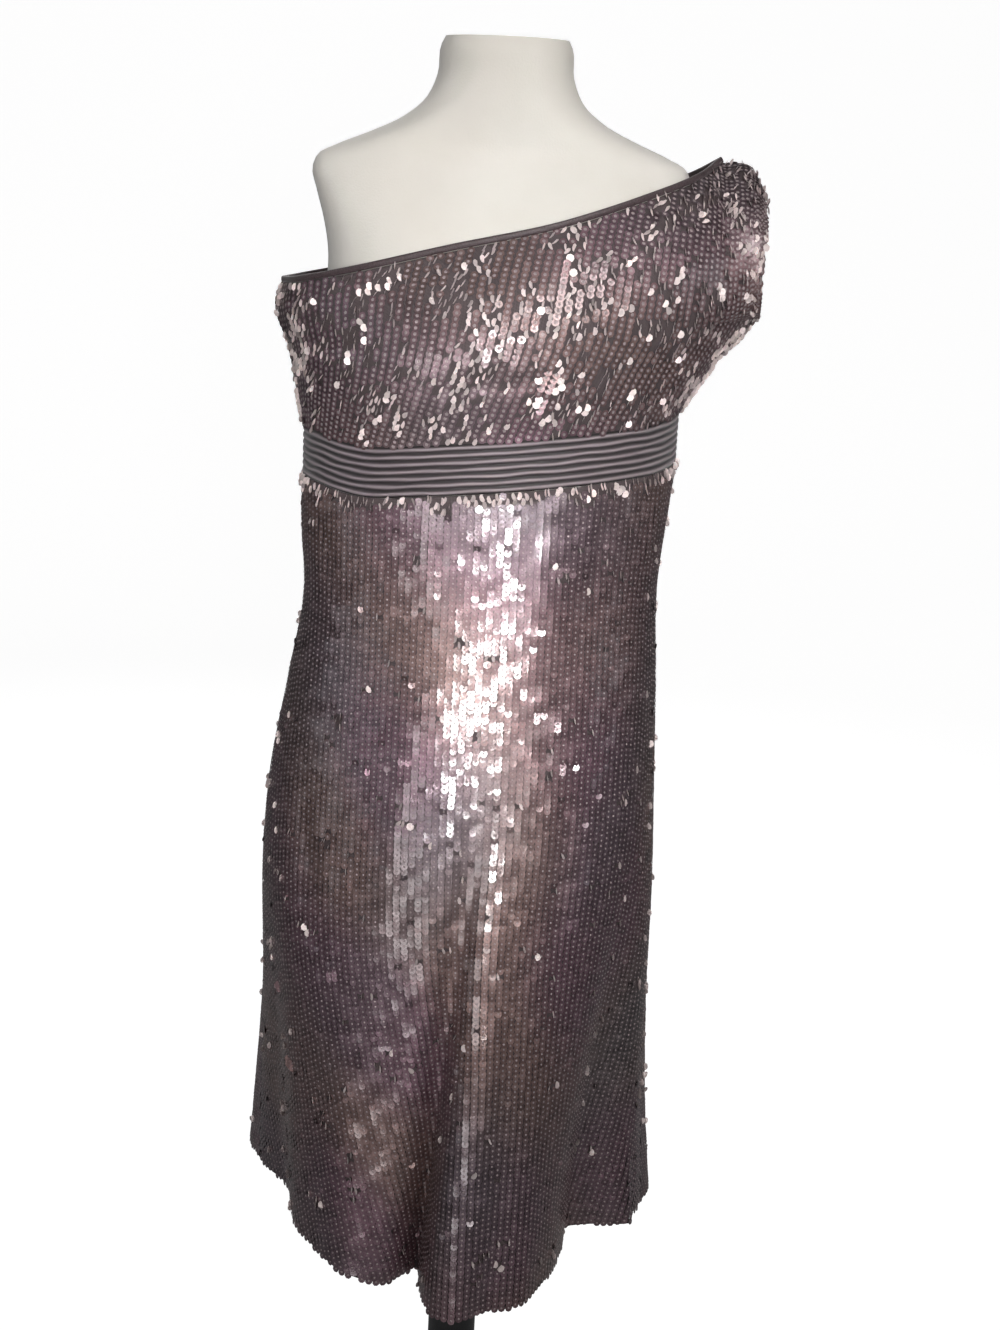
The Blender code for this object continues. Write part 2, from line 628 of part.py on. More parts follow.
def make_base(material, collection):
    """The round base: a low dome turned about the pole's axis, flat underneath."""
    profile = [(0.0, BASE_HEIGHT), (BASE_CROWN, BASE_HEIGHT)]
    for t in np.linspace(0, 1, BASE_STEPS + 1)[1:]:
        reach = BASE_CROWN + (BASE_RADIUS - BASE_CROWN) * t
        profile.append((reach, BASE_RIM + (BASE_HEIGHT - BASE_RIM) * (1 - t ** BASE_CURVE)))
    profile += [(BASE_RADIUS, 0.0), (0.0, 0.0)]
    mesh = bpy.data.meshes.new("stand_base")
    edges = [(i, i + 1) for i in range(len(profile) - 1)]
    mesh.from_pydata([(x, 0.0, z) for x, z in profile], edges, [])
    base = finish_object(bpy.data.objects.new("stand_base", mesh), "stand_base", material,
                         collection)
    screw = base.modifiers.new("turned", "SCREW")
    screw.axis = "Z"
    screw.steps = BASE_SIDES
    screw.render_steps = BASE_SIDES
    screw.use_merge_vertices = True
    screw.merge_threshold = 0.0001


# ---------------------------------------------------------------- the whole part
def main():
    """Build the dress, the form and the stand."""
    clear_scene()
    collection = bpy.data.collections.new("cocktail_dress")
    bpy.context.scene.collection.children.link(collection)
    materials = {name: make_material(name) for name in MATERIALS}
    for side in ("front", "back"):
        make_bodice(side, materials["sequin_net"], collection)
        make_binding(side, materials["binding_satin"], collection)
        make_waistband(side, materials["band_satin"], collection)
        make_skirt(side, materials["sequin_net"], collection)
    make_form(materials["form_jersey"], collection)
    make_pole(materials["stand_black"], collection)
    make_base(materials["stand_black"], collection)


main()
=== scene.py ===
# %% [markdown]
# # A one-shoulder cocktail dress, covered with sequins
#
# The real dress is a tube of fine net, dark inside. Some thirty thousand small discs are sewn to
# it in columns, a ribbed satin band holds it under the bust, and one cap sleeve covers the
# wearer's left shoulder. It stands on a plain dress form with a pole and a round base.
#
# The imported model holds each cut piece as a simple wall. This lesson gives every piece its fine
# surface, sews the sequins on, and sets up a plain studio. All sizes are in metres, +Z is up and
# the dress faces -Y.

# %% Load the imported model
import math
from collections import namedtuple

import bpy
import numpy as np
from mathutils import Matrix, Vector


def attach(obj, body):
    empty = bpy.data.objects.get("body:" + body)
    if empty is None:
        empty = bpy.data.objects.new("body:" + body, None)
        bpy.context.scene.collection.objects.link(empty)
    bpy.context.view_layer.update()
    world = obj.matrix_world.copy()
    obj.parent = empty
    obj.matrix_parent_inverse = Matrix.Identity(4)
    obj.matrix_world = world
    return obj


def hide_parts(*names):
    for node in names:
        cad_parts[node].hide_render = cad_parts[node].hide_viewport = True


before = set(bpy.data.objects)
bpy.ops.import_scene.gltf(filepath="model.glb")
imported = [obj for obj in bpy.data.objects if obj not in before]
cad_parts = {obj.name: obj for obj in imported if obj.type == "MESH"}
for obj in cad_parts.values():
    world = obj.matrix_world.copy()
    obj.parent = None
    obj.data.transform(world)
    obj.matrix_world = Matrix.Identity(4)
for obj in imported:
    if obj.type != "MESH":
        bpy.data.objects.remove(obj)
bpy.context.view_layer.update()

print("packed nodes:", ", ".join(sorted(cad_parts)))

# %% [markdown]
# ## Grids of points
#
# Every piece here is a surface worked out on a grid. Rows run down and columns run from left to
# right as seen from outside, so one rule for the order of the corners makes all faces point out.
# The points go into the mesh as whole arrays, which is far quicker than one vertex at a time.

# %% Helpers that turn grids into objects
SIDES = ("front", "back")


def grid_faces(rows, columns, closed=False):
    """Four corner numbers per face: a point, the one below it, the next one along, and its own
    neighbour on the right. A closed grid joins its last column to its first."""
    number = np.arange(rows * columns).reshape(rows, columns)
    if closed:
        number = np.concatenate([number, number[:, :1]], axis=1)
    corners = (number[:-1, :-1], number[1:, :-1], number[1:, 1:], number[:-1, 1:])
    return np.stack(corners, axis=-1).reshape(-1, 4)


def make_mesh(name, points, faces):
    """A mesh from an array of points and an array of equally long faces."""
    mesh = bpy.data.meshes.new(name)
    mesh.vertices.add(len(points))
    mesh.vertices.foreach_set("co", points.astype(np.float32).ravel())
    mesh.loops.add(faces.size)
    mesh.loops.foreach_set("vertex_index", faces.astype(np.int32).ravel())
    mesh.polygons.add(len(faces))
    mesh.polygons.foreach_set("loop_start", np.arange(0, faces.size, faces.shape[1], dtype=np.int32))
    mesh.update(calc_edges=True)
    mesh.validate()
    return mesh


def closed_rings(name, grid):
    """A mesh of closed rings of points, with a flat face at the first and at the last ring."""
    rings, sides = grid.shape[:2]
    faces = grid_faces(rings, sides, closed=True).tolist()
    faces.append(np.arange(sides).tolist())
    faces.append((np.arange(sides)[::-1] + (rings - 1) * sides).tolist())
    mesh = bpy.data.meshes.new(name)
    mesh.from_pydata(grid.reshape(-1, 3).tolist(), [], faces)
    mesh.validate()
    return mesh


def set_colours(mesh, name, colours):
    """A colour attribute on the mesh's points, from an array with four values a point."""
    layer = mesh.color_attributes.new(name=name, type="FLOAT_COLOR", domain="POINT")
    layer.data.foreach_set("color", colours.astype(np.float32).ravel())


def add_piece(mesh, materials, smooth_angle=50.0):
    """An object for a finished mesh, which rides on the dress."""
    piece = bpy.data.objects.new(mesh.name, mesh)
    bpy.context.scene.collection.objects.link(piece)
    for material in materials:
        mesh.materials.append(material)
    mesh.shade_smooth()
    mesh.set_sharp_from_angle(angle=math.radians(smooth_angle))
    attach(piece, "root")
    return piece


def travelled_along(points, axis=0):
    """Distance from the first point to each one, along one axis of a line or grid of points."""
    steps = np.linalg.norm(np.diff(points, axis=axis), axis=-1)
    return np.insert(np.cumsum(steps, axis=axis), 0, 0.0, axis=axis)


def set_cloth_map(mesh, grid, faces):
    """A UV map in metres: u is the way along the row, v the way down the column, so a weave
    that is drawn on it has its real size and follows the cloth."""
    places = np.stack([travelled_along(grid, 1), travelled_along(grid)], axis=-1).reshape(-1, 2)
    layer = mesh.uv_layers.new(name="cloth")
    layer.uv.foreach_set("vector", places[faces.ravel()].astype(np.float32).ravel())


def cloth_piece(name, grid, outside, inside, thickness):
    """A thin shell: the grid is its outer face, and Solidify adds the thickness on the inside,
    with its own material there."""
    faces = grid_faces(*grid.shape[:2])
    mesh = make_mesh(name, grid.reshape(-1, 3), faces)
    set_cloth_map(mesh, grid, faces)
    piece = add_piece(mesh, [outside, inside])
    shell = piece.modifiers.new("cloth", "SOLIDIFY")
    shell.thickness = thickness
    shell.offset = -1.0
    shell.material_offset = 1
    shell.material_offset_rim = 1
    return piece


# %% [markdown]
# ## Smooth curves and soft noise
#
# A dressmaker's pattern is a few measured points joined by smooth curves. The first helper does
# that for a short table. The second makes an uneven, soft field from a handful of sine waves,
# for cloth that is never perfectly flat.

# %% Curves and noise
NOISE_LENGTHS = (0.6, 1.6)  # from the shortest wave to the longest, as shares of the noise's size


def smooth_values(knots, values, at):
    """A cubic curve through (knot, value) pairs: between two knots it starts and ends with the
    slopes that their neighbours give."""
    knots = np.asarray(knots, dtype=float)
    values = np.asarray(values, dtype=float)
    slopes = np.gradient(values, knots, axis=0)
    place = np.clip(np.searchsorted(knots, at, side="right") - 1, 0, len(knots) - 2)
    width = knots[place + 1] - knots[place]
    t = (at - knots[place]) / width
    if values.ndim > 1:
        width = width[..., None]
        t = t[..., None]
    start = values[place] * (2 * t**3 - 3 * t**2 + 1) + slopes[place] * width * (t**3 - 2 * t**2 + t)
    end = values[place + 1] * (3 * t**2 - 2 * t**3) + slopes[place + 1] * width * (t**3 - t**2)
    return start + end


def resample(points, count):
    """Evenly spaced points along a line of points."""
    travelled = travelled_along(points)
    wanted = np.linspace(0.0, travelled[-1], count)
    return np.stack([np.interp(wanted, travelled, points[:, axis]) for axis in range(3)], axis=1)


def bell(away, width):
    """1 in the middle, falling off to either side, and down to a seventh at this width."""
    return np.exp(-2 * (away / width) ** 2)


def squared(wave, power):
    """A wave raised to a power with its sign kept. A power under 1 pushes its corners out."""
    return np.sign(wave) * np.abs(wave) ** power


def soft_noise(x, y, size, seed, waves=9):
    """Uneven values round 0, with a spread of about 1: a sum of sine waves in x and y, each with
    its own way, phase and a length of about the given size."""
    dice = np.random.default_rng(seed)
    ways = dice.uniform(0, 2 * np.pi, waves)
    lengths = size * dice.uniform(*NOISE_LENGTHS, waves)
    phases = dice.uniform(0, 2 * np.pi, waves)
    total = np.zeros(np.broadcast(x, y).shape)
    for way, length, phase in zip(ways, lengths, phases):
        total += np.sin(2 * np.pi * (x * np.cos(way) + y * np.sin(way)) / length + phase)
    return total / math.sqrt(waves / 2)


# %% [markdown]
# ## The skirt
#
# The skirt hangs from the band, widens over the hips and falls in soft flutes. A good way to
# describe it is a table of level sections, and a table of folds that grow towards the hem: each
# fold is a bell-shaped ridge or trough. Smaller drag lines are laid over them.

# %% Sizes of the skirt
# The middle of the band lies in a plane: its height, what is added to it, and its slopes towards
# the sleeve and towards the back.
WAIST_HEIGHT = 1.145
WAIST_RISE = 0.0080
WAIST_SLOPE = math.tan(math.radians(4.7))
WAIST_DIP = 0.065
HEM_HEIGHT = 0.480
HEM_LIFT = 0.028            # at the bare side
SEAM_GAP = 0.0003
CLOTH = 0.0014              # thickness of the net

# The band's reach to the sides and to front and back, over its tucks.
BAND_SIDE = 0.1490
BAND_DEPTH = 0.1090
RIB_COUNT = 7
RIB_PITCH = 0.0055
BAND_HEIGHT = RIB_COUNT * RIB_PITCH

# Level sections: metres under the waist, and the reach from the axis to each of the four sides.
Section = namedtuple("Section", "drop bare sleeve front back")
SKIRT_SECTIONS = (
    Section(0.000, 0.1486, 0.1484, 0.1084, 0.1084),
    Section(0.045, 0.1478, 0.1440, 0.1075, 0.1100),
    Section(0.100, 0.1448, 0.1395, 0.1080, 0.1160),
    Section(0.180, 0.1560, 0.1435, 0.1170, 0.1300),
    Section(0.265, 0.1695, 0.1475, 0.1290, 0.1440),
    Section(0.350, 0.1750, 0.1515, 0.1390, 0.1500),
    Section(0.490, 0.1750, 0.1530, 0.1480, 0.1540),
    Section(0.580, 0.1765, 0.1550, 0.1540, 0.1570),
    Section(0.665, 0.1780, 0.1600, 0.1580, 0.1600),
)

# A fold starts at a fraction of the length and grows to its reach at the hem. Bearings are in
# degrees round the dress, from 0 at the middle of the front, and more is towards the sleeve.
Fold = namedtuple("Fold", "start bearing hem_bearing spread reach")
SKIRT_FOLDS = (
    Fold(0.45, -108, -106, 15, 0.016),
    Fold(0.50, -72, -70, 22, -0.024),
    Fold(0.55, -36, -29, 12, 0.009),
    Fold(0.34, 2, -12.5, 5.5, -0.040),
    Fold(0.40, 8, 0, 12, 0.036),
    Fold(0.50, 20, 16, 12, 0.018),
    Fold(0.50, 44, 46, 22, -0.030),
    Fold(0.42, 57, 64, 18, -0.046),
    Fold(0.86, 77, 76, 4, 0.014),
    Fold(0.50, 100, 101, 12, 0.014),
    Fold(0.48, 122, 124, 11, -0.026),
    Fold(0.42, 143, 144, 12, 0.020),
    Fold(0.55, 163, 166, 9, -0.024),
    Fold(0.46, 184, 186, 12, 0.022),
    Fold(0.52, 206, 203, 9, -0.025),
    Fold(0.44, 222, 224, 12, 0.017),
    Fold(0.50, 238, 240, 8, -0.016),
)
FOLD_GROWTH = 1.25          # power with which a fold grows down to the hem

# The waist seams waver over and under their plane: bearing in degrees, and metres up.
WAIST_WAVER = (
    (-180, 0.0000), (-150, 0.0010), (-120, -0.0012), (-90, 0.0000), (-65, 0.0012),
    (-40, -0.0038), (-15, -0.0005), (10, 0.0010), (35, 0.0008), (60, -0.0009),
    (90, 0.0000), (130, 0.0012), (155, -0.0008), (180, 0.0000),
)

# A drag line runs from one bearing and fraction of the skirt's length to another.
Drag = namedtuple("Drag", "bearing top low_bearing bottom width depth")
SKIRT_DRAGS = (
    Drag(20, 0.00, 15, 0.27, 0.045, 0.0036),
    Drag(-14, 0.12, -17, 0.52, 0.045, 0.0046),
    Drag(-62, 0.02, -50, 0.16, 0.010, -0.0016),
    Drag(-38, 0.01, -30, 0.10, 0.009, -0.0012),
    Drag(-20, 0.02, -16, 0.13, 0.010, 0.0012),
    Drag(12, 0.01, 16, 0.12, 0.009, -0.0012),
    Drag(40, 0.02, 34, 0.17, 0.011, -0.0016),
    Drag(66, 0.01, 60, 0.12, 0.010, 0.0014),
    Drag(-55, 0.34, -44, 0.60, 0.016, -0.0022),
    Drag(-18, 0.30, -24, 0.55, 0.014, 0.0018),
    Drag(30, 0.34, 26, 0.62, 0.015, -0.0020),
    Drag(118, 0.02, 126, 0.15, 0.010, -0.0015),
    Drag(150, 0.01, 154, 0.11, 0.010, 0.0013),
    Drag(178, 0.02, 175, 0.14, 0.011, -0.0016),
    Drag(205, 0.01, 200, 0.12, 0.009, -0.0012),
    Drag(236, 0.02, 230, 0.16, 0.010, 0.0014),
    Drag(140, 0.32, 134, 0.58, 0.015, -0.0020),
    Drag(196, 0.30, 202, 0.56, 0.015, 0.0018),
)


# %% The surface of the skirt
def level_ring(bearings, bare, sleeve, front, back, squareness=1.0):
    """Points x, y of a level section: four quarter ellipses with a reach of their own on each
    side. A squareness under 1 pushes their corners out."""
    across = np.sin(bearings)
    ahead = np.cos(bearings)
    x = np.where(across > 0, sleeve, bare) * squared(across, squareness)
    y = -np.where(ahead > 0, front, back) * squared(ahead, squareness)
    return x, y


def waist_lift(x, y):
    """Metres that the waist seam at a place is over the waist's height: a plane that rises to
    the sleeve and falls to the front, plus a waver that goes by the bearing."""
    bearing = np.degrees(np.arctan2(x / BAND_SIDE, -y / BAND_DEPTH))
    knots, wavers = np.array(WAIST_WAVER).T
    return WAIST_RISE + WAIST_SLOPE * x + WAIST_DIP * y + smooth_values(knots, wavers, bearing)


def side_bearings(side, count):
    """Even bearings of one half, from the bare side to the sleeve side. 0 is the front."""
    turn = 180 if side == "front" else -180
    return np.radians(np.linspace(-90, -90 + turn, count))


def turned_away(bearings, middle):
    """Degrees from a middle bearing, from -180 to 180."""
    return (np.degrees(bearings) - middle + 180) % 360 - 180


def fold_reach(bearings, fraction):
    """Metres that folds and drag lines move the cloth out. A fold is a bell across its bearing
    that grows down to the hem; a drag line fades out at both ends."""
    total = np.zeros(np.broadcast(bearings, fraction).shape)
    for fold in SKIRT_FOLDS:
        grown = np.clip((fraction - fold.start) / (1 - fold.start), 0, 1)
        middle = fold.bearing + (fold.hem_bearing - fold.bearing) * grown
        total += fold.reach * grown**FOLD_GROWTH * bell(turned_away(bearings, middle), fold.spread)
    for drag in SKIRT_DRAGS:
        t = np.clip((fraction - drag.top) / (drag.bottom - drag.top), 0, 1)
        middle = drag.bearing + (drag.low_bearing - drag.bearing) * t
        away = np.radians(turned_away(bearings, middle)) * BAND_SIDE
        total += drag.depth * np.sin(np.pi * t) * bell(away, drag.width)
    return total


def skirt_points(bearings, fraction):
    """The skirt's outer face: a level section at each fraction of the length, moved out by the
    folds, with its height between the sloping waist and the lifted hem."""
    drops = [s.drop for s in SKIRT_SECTIONS]
    drop = fraction * (WAIST_HEIGHT - HEM_HEIGHT)
    reaches = [smooth_values(drops, [getattr(s, name) for s in SKIRT_SECTIONS], drop)
               for name in ("bare", "sleeve", "front", "back")]
    x, y = level_ring(bearings, *reaches)
    growth = 1 + fold_reach(bearings, fraction) / np.hypot(x, y)
    x = x * growth
    y = y * growth
    top = WAIST_HEIGHT - BAND_HEIGHT / 2 - SEAM_GAP + waist_lift(x, y)
    hem = HEM_HEIGHT + HEM_LIFT * np.clip(-x / BAND_SIDE, 0, 1) ** 2
    return np.stack([x, y, top + (hem - top) * fraction], axis=-1)


def seen_from_outside(grid, side):
    """Turns the columns of a back panel round, so that they run left to right from outside."""
    return grid if side == "front" else grid[:, ::-1]


# %% Skirt grids
SKIRT_ROWS = 76
SKIRT_COLUMNS = 110
HEM_POINTS = 900


def hem_bearings(side, count):
    """Bearings that space the columns evenly along the folded hem."""
    fine = side_bearings(side, HEM_POINTS)
    travelled = travelled_along(skirt_points(fine, np.ones_like(fine)))
    return np.interp(np.linspace(0, travelled[-1], count), travelled, fine)


def skirt_grid(side):
    """The panel's points, waist row first."""
    bearings = hem_bearings(side, SKIRT_COLUMNS)[None, :]
    fractions = np.linspace(0.0, 1.0, SKIRT_ROWS)[:, None]
    bearings, fractions = np.broadcast_arrays(bearings, fractions)
    return seen_from_outside(skirt_points(bearings, fractions), side)


def grid_area(grid):
    """Area of a grid in square metres: half of each face's crossed diagonals."""
    one = grid[1:, 1:] - grid[:-1, :-1]
    other = grid[1:, :-1] - grid[:-1, 1:]
    return float(np.linalg.norm(np.cross(one, other), axis=2).sum() / 2)


skirt_grids = {side: skirt_grid(side) for side in SIDES}
for side, grid in skirt_grids.items():
    hem_length = travelled_along(grid[-1])[-1]
    print(f"skirt {side}: area {grid_area(grid):.3f} m2, hem {hem_length:.3f} m")

# %% [markdown]
# ## The bodice
#
# Each bodice panel is cut in one with half of the cap sleeve. Four edges are measured: the waist,
# the bare side seam, the neckline with the shoulder seam, and the underarm seam with the sleeve
# hem. The surface between them starts as straight lines from bottom to top, and the bend of each
# side is added with a weight that fades across the panel. Fullness for bust and blades comes last.

# %% Sizes of the bodice
BODICE_INSET = 0.0004       # from the band's outline to where the bodice starts
BINDING_HEIGHT = 0.0050
BINDING_WALL = 0.0028

# Points of an edge: metres to the sleeve, to the front (to the back, if negative) and up from
# the waist.
Point = namedtuple("Point", "across forward rise")
FRONT_NECKLINE = (
    Point(-0.1673, 0.000, 0.1290),
    Point(-0.1500, 0.050, 0.1330),
    Point(-0.1130, 0.083, 0.1425),
    Point(-0.0350, 0.101, 0.1635),
    Point(0.0436, 0.101, 0.1830),
    Point(0.1020, 0.080, 0.2030),
    Point(0.1470, 0.043, 0.2210),
    Point(0.1671, 0.000, 0.2337),
)
BACK_NECKLINE = (
    Point(-0.1673, 0.000, 0.1290),
    Point(-0.1480, -0.056, 0.1310),
    Point(-0.1050, -0.094, 0.1390),
    Point(-0.0300, -0.111, 0.1570),
    Point(0.0500, -0.107, 0.1800),
    Point(0.1080, -0.084, 0.2020),
    Point(0.1500, -0.044, 0.2215),
    Point(0.1671, 0.000, 0.2337),
)
BARE_SIDE_SEAM = (
    Point(-0.1486, 0.000, 0.0153),
    Point(-0.1520, 0.000, 0.0330),
    Point(-0.1615, 0.000, 0.0800),
    Point(-0.1712, 0.000, 0.1130),
    Point(-0.1673, 0.000, 0.1290),
)
SLEEVE_SIDE_SEAM = (
    Point(0.1486, 0.000, 0.0398),
    Point(0.1557, 0.000, 0.0510),
    Point(0.1640, 0.000, 0.0625),
    Point(0.1770, 0.000, 0.0810),
    Point(0.1910, 0.000, 0.0960),
    Point(0.2035, 0.000, 0.1120),
)
SHOULDER_SEAM = (
    Point(0.1671, 0.000, 0.2337),
    Point(0.1787, 0.000, 0.2334),
    Point(0.1882, 0.000, 0.2305),
    Point(0.1968, 0.000, 0.2193),
    Point(0.2035, 0.000, 0.2069),
)
SLEEVE_INSET = 0.0050
SLEEVE_DEPTH = {"front": -0.058, "back": 0.064}
# Shares of the panel's columns that end at the neckline, and of its rows that end at the seam.
NECK_SHARE = 0.84
SEAM_SHARE = 0.44
# The last share of the neckline, over which its free edge leans to the neck, and how far.
NECK_TURN = 0.20
NECK_LEAN = 0.35
# Powers with which the bends of the edges fade into the panel. The sleeve's has one each for
# x, y and z.
TOP_FADE = 4.0
BARE_FADE = 2.0
SLEEVE_FADE = (3.0, 5.0, 3.0)
FULLNESS = {"front": 0.020, "back": 0.012}
FULLNESS_FADE = 1.2
SHOULDER_FULLNESS = 0.010
BODICE_ROWS = 66
BODICE_COLUMNS = 101
EDGE_POINTS = 200


# %% Edges of a bodice panel
def edge_points(table, count):
    """Evenly spaced points on the smooth curve through a table of bodice points."""
    corners = np.array([(p.across, -p.forward, WAIST_HEIGHT + p.rise) for p in table])
    travelled = travelled_along(corners)
    return smooth_values(travelled, corners, np.linspace(0.0, travelled[-1], count))


def sleeve_hem(side, count):
    """Half an oval from the underarm up to the shoulder, drawn in a little at its middle."""
    under = SLEEVE_SIDE_SEAM[-1]
    top = SHOULDER_SEAM[-1]
    turn = np.linspace(0, np.pi, count)
    climb = 0.5 * (1 - np.cos(turn))
    x = under.across + (top.across - under.across) * climb - SLEEVE_INSET * np.sin(turn)
    z = WAIST_HEIGHT + under.rise + (top.rise - under.rise) * climb
    return np.stack([x, SLEEVE_DEPTH[side] * np.sin(turn), z], axis=1)


def neckline_frame(side, count):
    """The neckline's points, the way to its free edge and the way out. The way to the edge is
    up over the chest, and leans towards the neck on the shoulder."""
    line = edge_points(FRONT_NECKLINE if side == "front" else BACK_NECKLINE, EDGE_POINTS)
    line = resample(line, count)
    t = np.clip((np.linspace(0, 1, count) - 1 + NECK_TURN) / NECK_TURN, 0, 1)
    turned = NECK_LEAN * (t * t * (3 - 2 * t))[:, None]
    to_edge = (1 - turned) * np.array([0.0, 0.0, 1.0]) + turned * np.array([-1.0, 0.0, 0.0])
    heading = np.gradient(line, axis=0)
    heading /= np.linalg.norm(heading, axis=1, keepdims=True)
    to_edge -= np.sum(to_edge * heading, axis=1, keepdims=True) * heading
    to_edge[[0, -1], 1] = 0.0
    to_edge /= np.linalg.norm(to_edge, axis=1, keepdims=True)
    outward = np.cross(heading, to_edge) * (1 if side == "front" else -1)
    outward[[0, -1], 1] = 0.0
    outward /= np.linalg.norm(outward, axis=1, keepdims=True)
    return line, to_edge, outward


def bend_to(line, start, end):
    """Shifts a line of points so that it runs from start to end exactly."""
    t = np.linspace(0, 1, len(line))[:, None]
    return line + (1 - t) * (start - line[0]) + t * (end - line[-1])


def without_corner(line):
    """The line between the same ends as a cubic, which has no corner."""
    t = np.linspace(0, 1, len(line))
    cubic = [np.polyval(np.polyfit(t, line[:, axis], 3), t) for axis in range(3)]
    return bend_to(np.stack(cubic, axis=1), line[0], line[-1])


def band_row(bearings, inset, height):
    """A line of points round half of the band, this far inside its ribs and over its middle."""
    side_reach = BAND_SIDE - inset
    depth_reach = BAND_DEPTH - inset
    x, y = level_ring(bearings, side_reach, side_reach, depth_reach, depth_reach)
    return np.stack([x, y, WAIST_HEIGHT + height + waist_lift(x, y)], axis=-1)


# %% The surface of a bodice panel
# Each drag line starts and ends at shares of the panel: across from the bare side, and up.
Pull = namedtuple("Pull", "across up end_across end_up width depth")
BODICE_DRAGS = {
    "front": (
        Pull(0.96, 0.40, 0.62, 0.24, 0.013, -0.0022),
        Pull(0.93, 0.58, 0.66, 0.40, 0.015, 0.0020),
        Pull(0.56, 0.30, 0.36, 0.33, 0.016, -0.0018),
        Pull(0.30, 0.52, 0.06, 0.66, 0.014, -0.0016),
        Pull(0.24, 0.10, 0.20, 0.36, 0.010, -0.0014),
        Pull(0.74, 0.08, 0.78, 0.30, 0.010, -0.0014),
    ),
    "back": (
        Pull(0.95, 0.42, 0.60, 0.26, 0.014, -0.0022),
        Pull(0.90, 0.60, 0.64, 0.46, 0.015, 0.0018),
        Pull(0.40, 0.20, 0.10, 0.34, 0.014, -0.0018),
        Pull(0.52, 0.08, 0.50, 0.34, 0.012, -0.0014),
    ),
}
# The rough size of a panel, which turns those shares into metres.
PANEL_WIDTH = 0.44
PANEL_HEIGHT = 0.19


def drag_depth(u, v, drags):
    """Metres that drag lines move the cloth out: each is a bell across its own line, which
    fades out at both ends."""
    total = np.zeros(np.broadcast(u, v).shape)
    for d in drags:
        way = np.array([(d.end_across - d.across) * PANEL_WIDTH, (d.end_up - d.up) * PANEL_HEIGHT])
        length = np.linalg.norm(way)
        x = (u - d.across) * PANEL_WIDTH
        y = (v - d.up) * PANEL_HEIGHT
        t = (x * way[0] + y * way[1]) / length**2
        away = (x * way[1] - y * way[0]) / length
        total += d.depth * bell(away, d.width) * np.sin(np.pi * np.clip(t, 0, 1))
    return total


def bodice_grid(side, columns=BODICE_COLUMNS, rows=BODICE_ROWS):
    """The panel's points, neckline row first: straight lines from the waist to the top, plus
    the bends of the edges, the fullness and the drag lines."""
    neck_columns = int(round(NECK_SHARE * (columns - 1)))
    seam_rows = int(round(SEAM_SHARE * (rows - 1)))
    bottom = band_row(side_bearings(side, columns), BODICE_INSET, BAND_HEIGHT / 2 + SEAM_GAP)
    line, to_edge, _ = neckline_frame(side, neck_columns + 1)
    neckline = line - to_edge * (BINDING_HEIGHT + SEAM_GAP)
    shoulder = resample(edge_points(SHOULDER_SEAM, EDGE_POINTS), columns - neck_columns)
    top = np.concatenate([neckline, bend_to(shoulder, neckline[-1], shoulder[-1])[1:]])
    bare = resample(edge_points(BARE_SIDE_SEAM, EDGE_POINTS), rows)
    bare = bend_to(bare, bottom[0], top[0])
    under = resample(edge_points(SLEEVE_SIDE_SEAM, EDGE_POINTS), seam_rows + 1)
    under = bend_to(under, bottom[-1], under[-1])
    hem = resample(sleeve_hem(side, EDGE_POINTS), rows - seam_rows)
    sleeve = np.concatenate([under, hem[1:]])

    u = np.linspace(0, 1, columns)[None, :]
    v = np.linspace(0, 1, rows)[:, None]
    plain_top = without_corner(top)
    grid = (1 - v[..., None]) * bottom[None] + v[..., None] * plain_top[None]
    grid = grid + v[..., None] ** TOP_FADE * (top - plain_top)[None]
    bare_bend = bare[:, None] - grid[:, :1]
    sleeve_bend = sleeve[:, None] - grid[:, -1:]
    grid = grid + (1 - u[..., None]) ** BARE_FADE * bare_bend
    grid = grid + u[..., None] ** np.array(SLEEVE_FADE) * sleeve_bend

    full = FULLNESS[side] * (np.sin(np.pi * u) * np.sin(np.pi * v)).clip(0) ** FULLNESS_FADE
    full = full + SHOULDER_FULLNESS * (u**3 * (1 - u**4)) * np.sin(np.pi * v**2)
    full = full + drag_depth(u, v, BODICE_DRAGS[side])
    grid[..., 1] += -full if side == "front" else full
    return seen_from_outside(grid[::-1], side)


bodice_grids = {side: bodice_grid(side) for side in SIDES}
for side, grid in bodice_grids.items():
    print(f"bodice {side}: area {grid_area(grid):.3f} m2")

# %% [markdown]
# ## Finishes
#
# Each finish is one Principled shader with what varies linked in from nodes. Sequins are thin
# plastic with a metallic coat, so they are dark from most angles and flash when they face a
# light. Their colour comes from an attribute that is worked out later, disc by disc. The cloths
# read the UV map in metres, so their threads have a real size.

# %% Node helpers
def new_material(name, **sockets):
    """A material with one Principled shader; the given sockets are set on the shader itself."""
    material = bpy.data.materials.new(name)
    material.use_nodes = True
    shader = material.node_tree.nodes["Principled BSDF"]
    for socket, value in sockets.items():
        shader.inputs[socket.replace("_", " ")].default_value = value
    return material, material.node_tree, shader


def add_node(tree, kind, links=None, **settings):
    """A node with plain settings, and its inputs linked or set from a dictionary."""
    node = tree.nodes.new(kind)
    for name, value in settings.items():
        setattr(node, name, value)
    for name, value in (links or {}).items():
        if isinstance(value, bpy.types.NodeSocket):
            tree.links.new(value, node.inputs[name])
        else:
            node.inputs[name].default_value = value
    return node


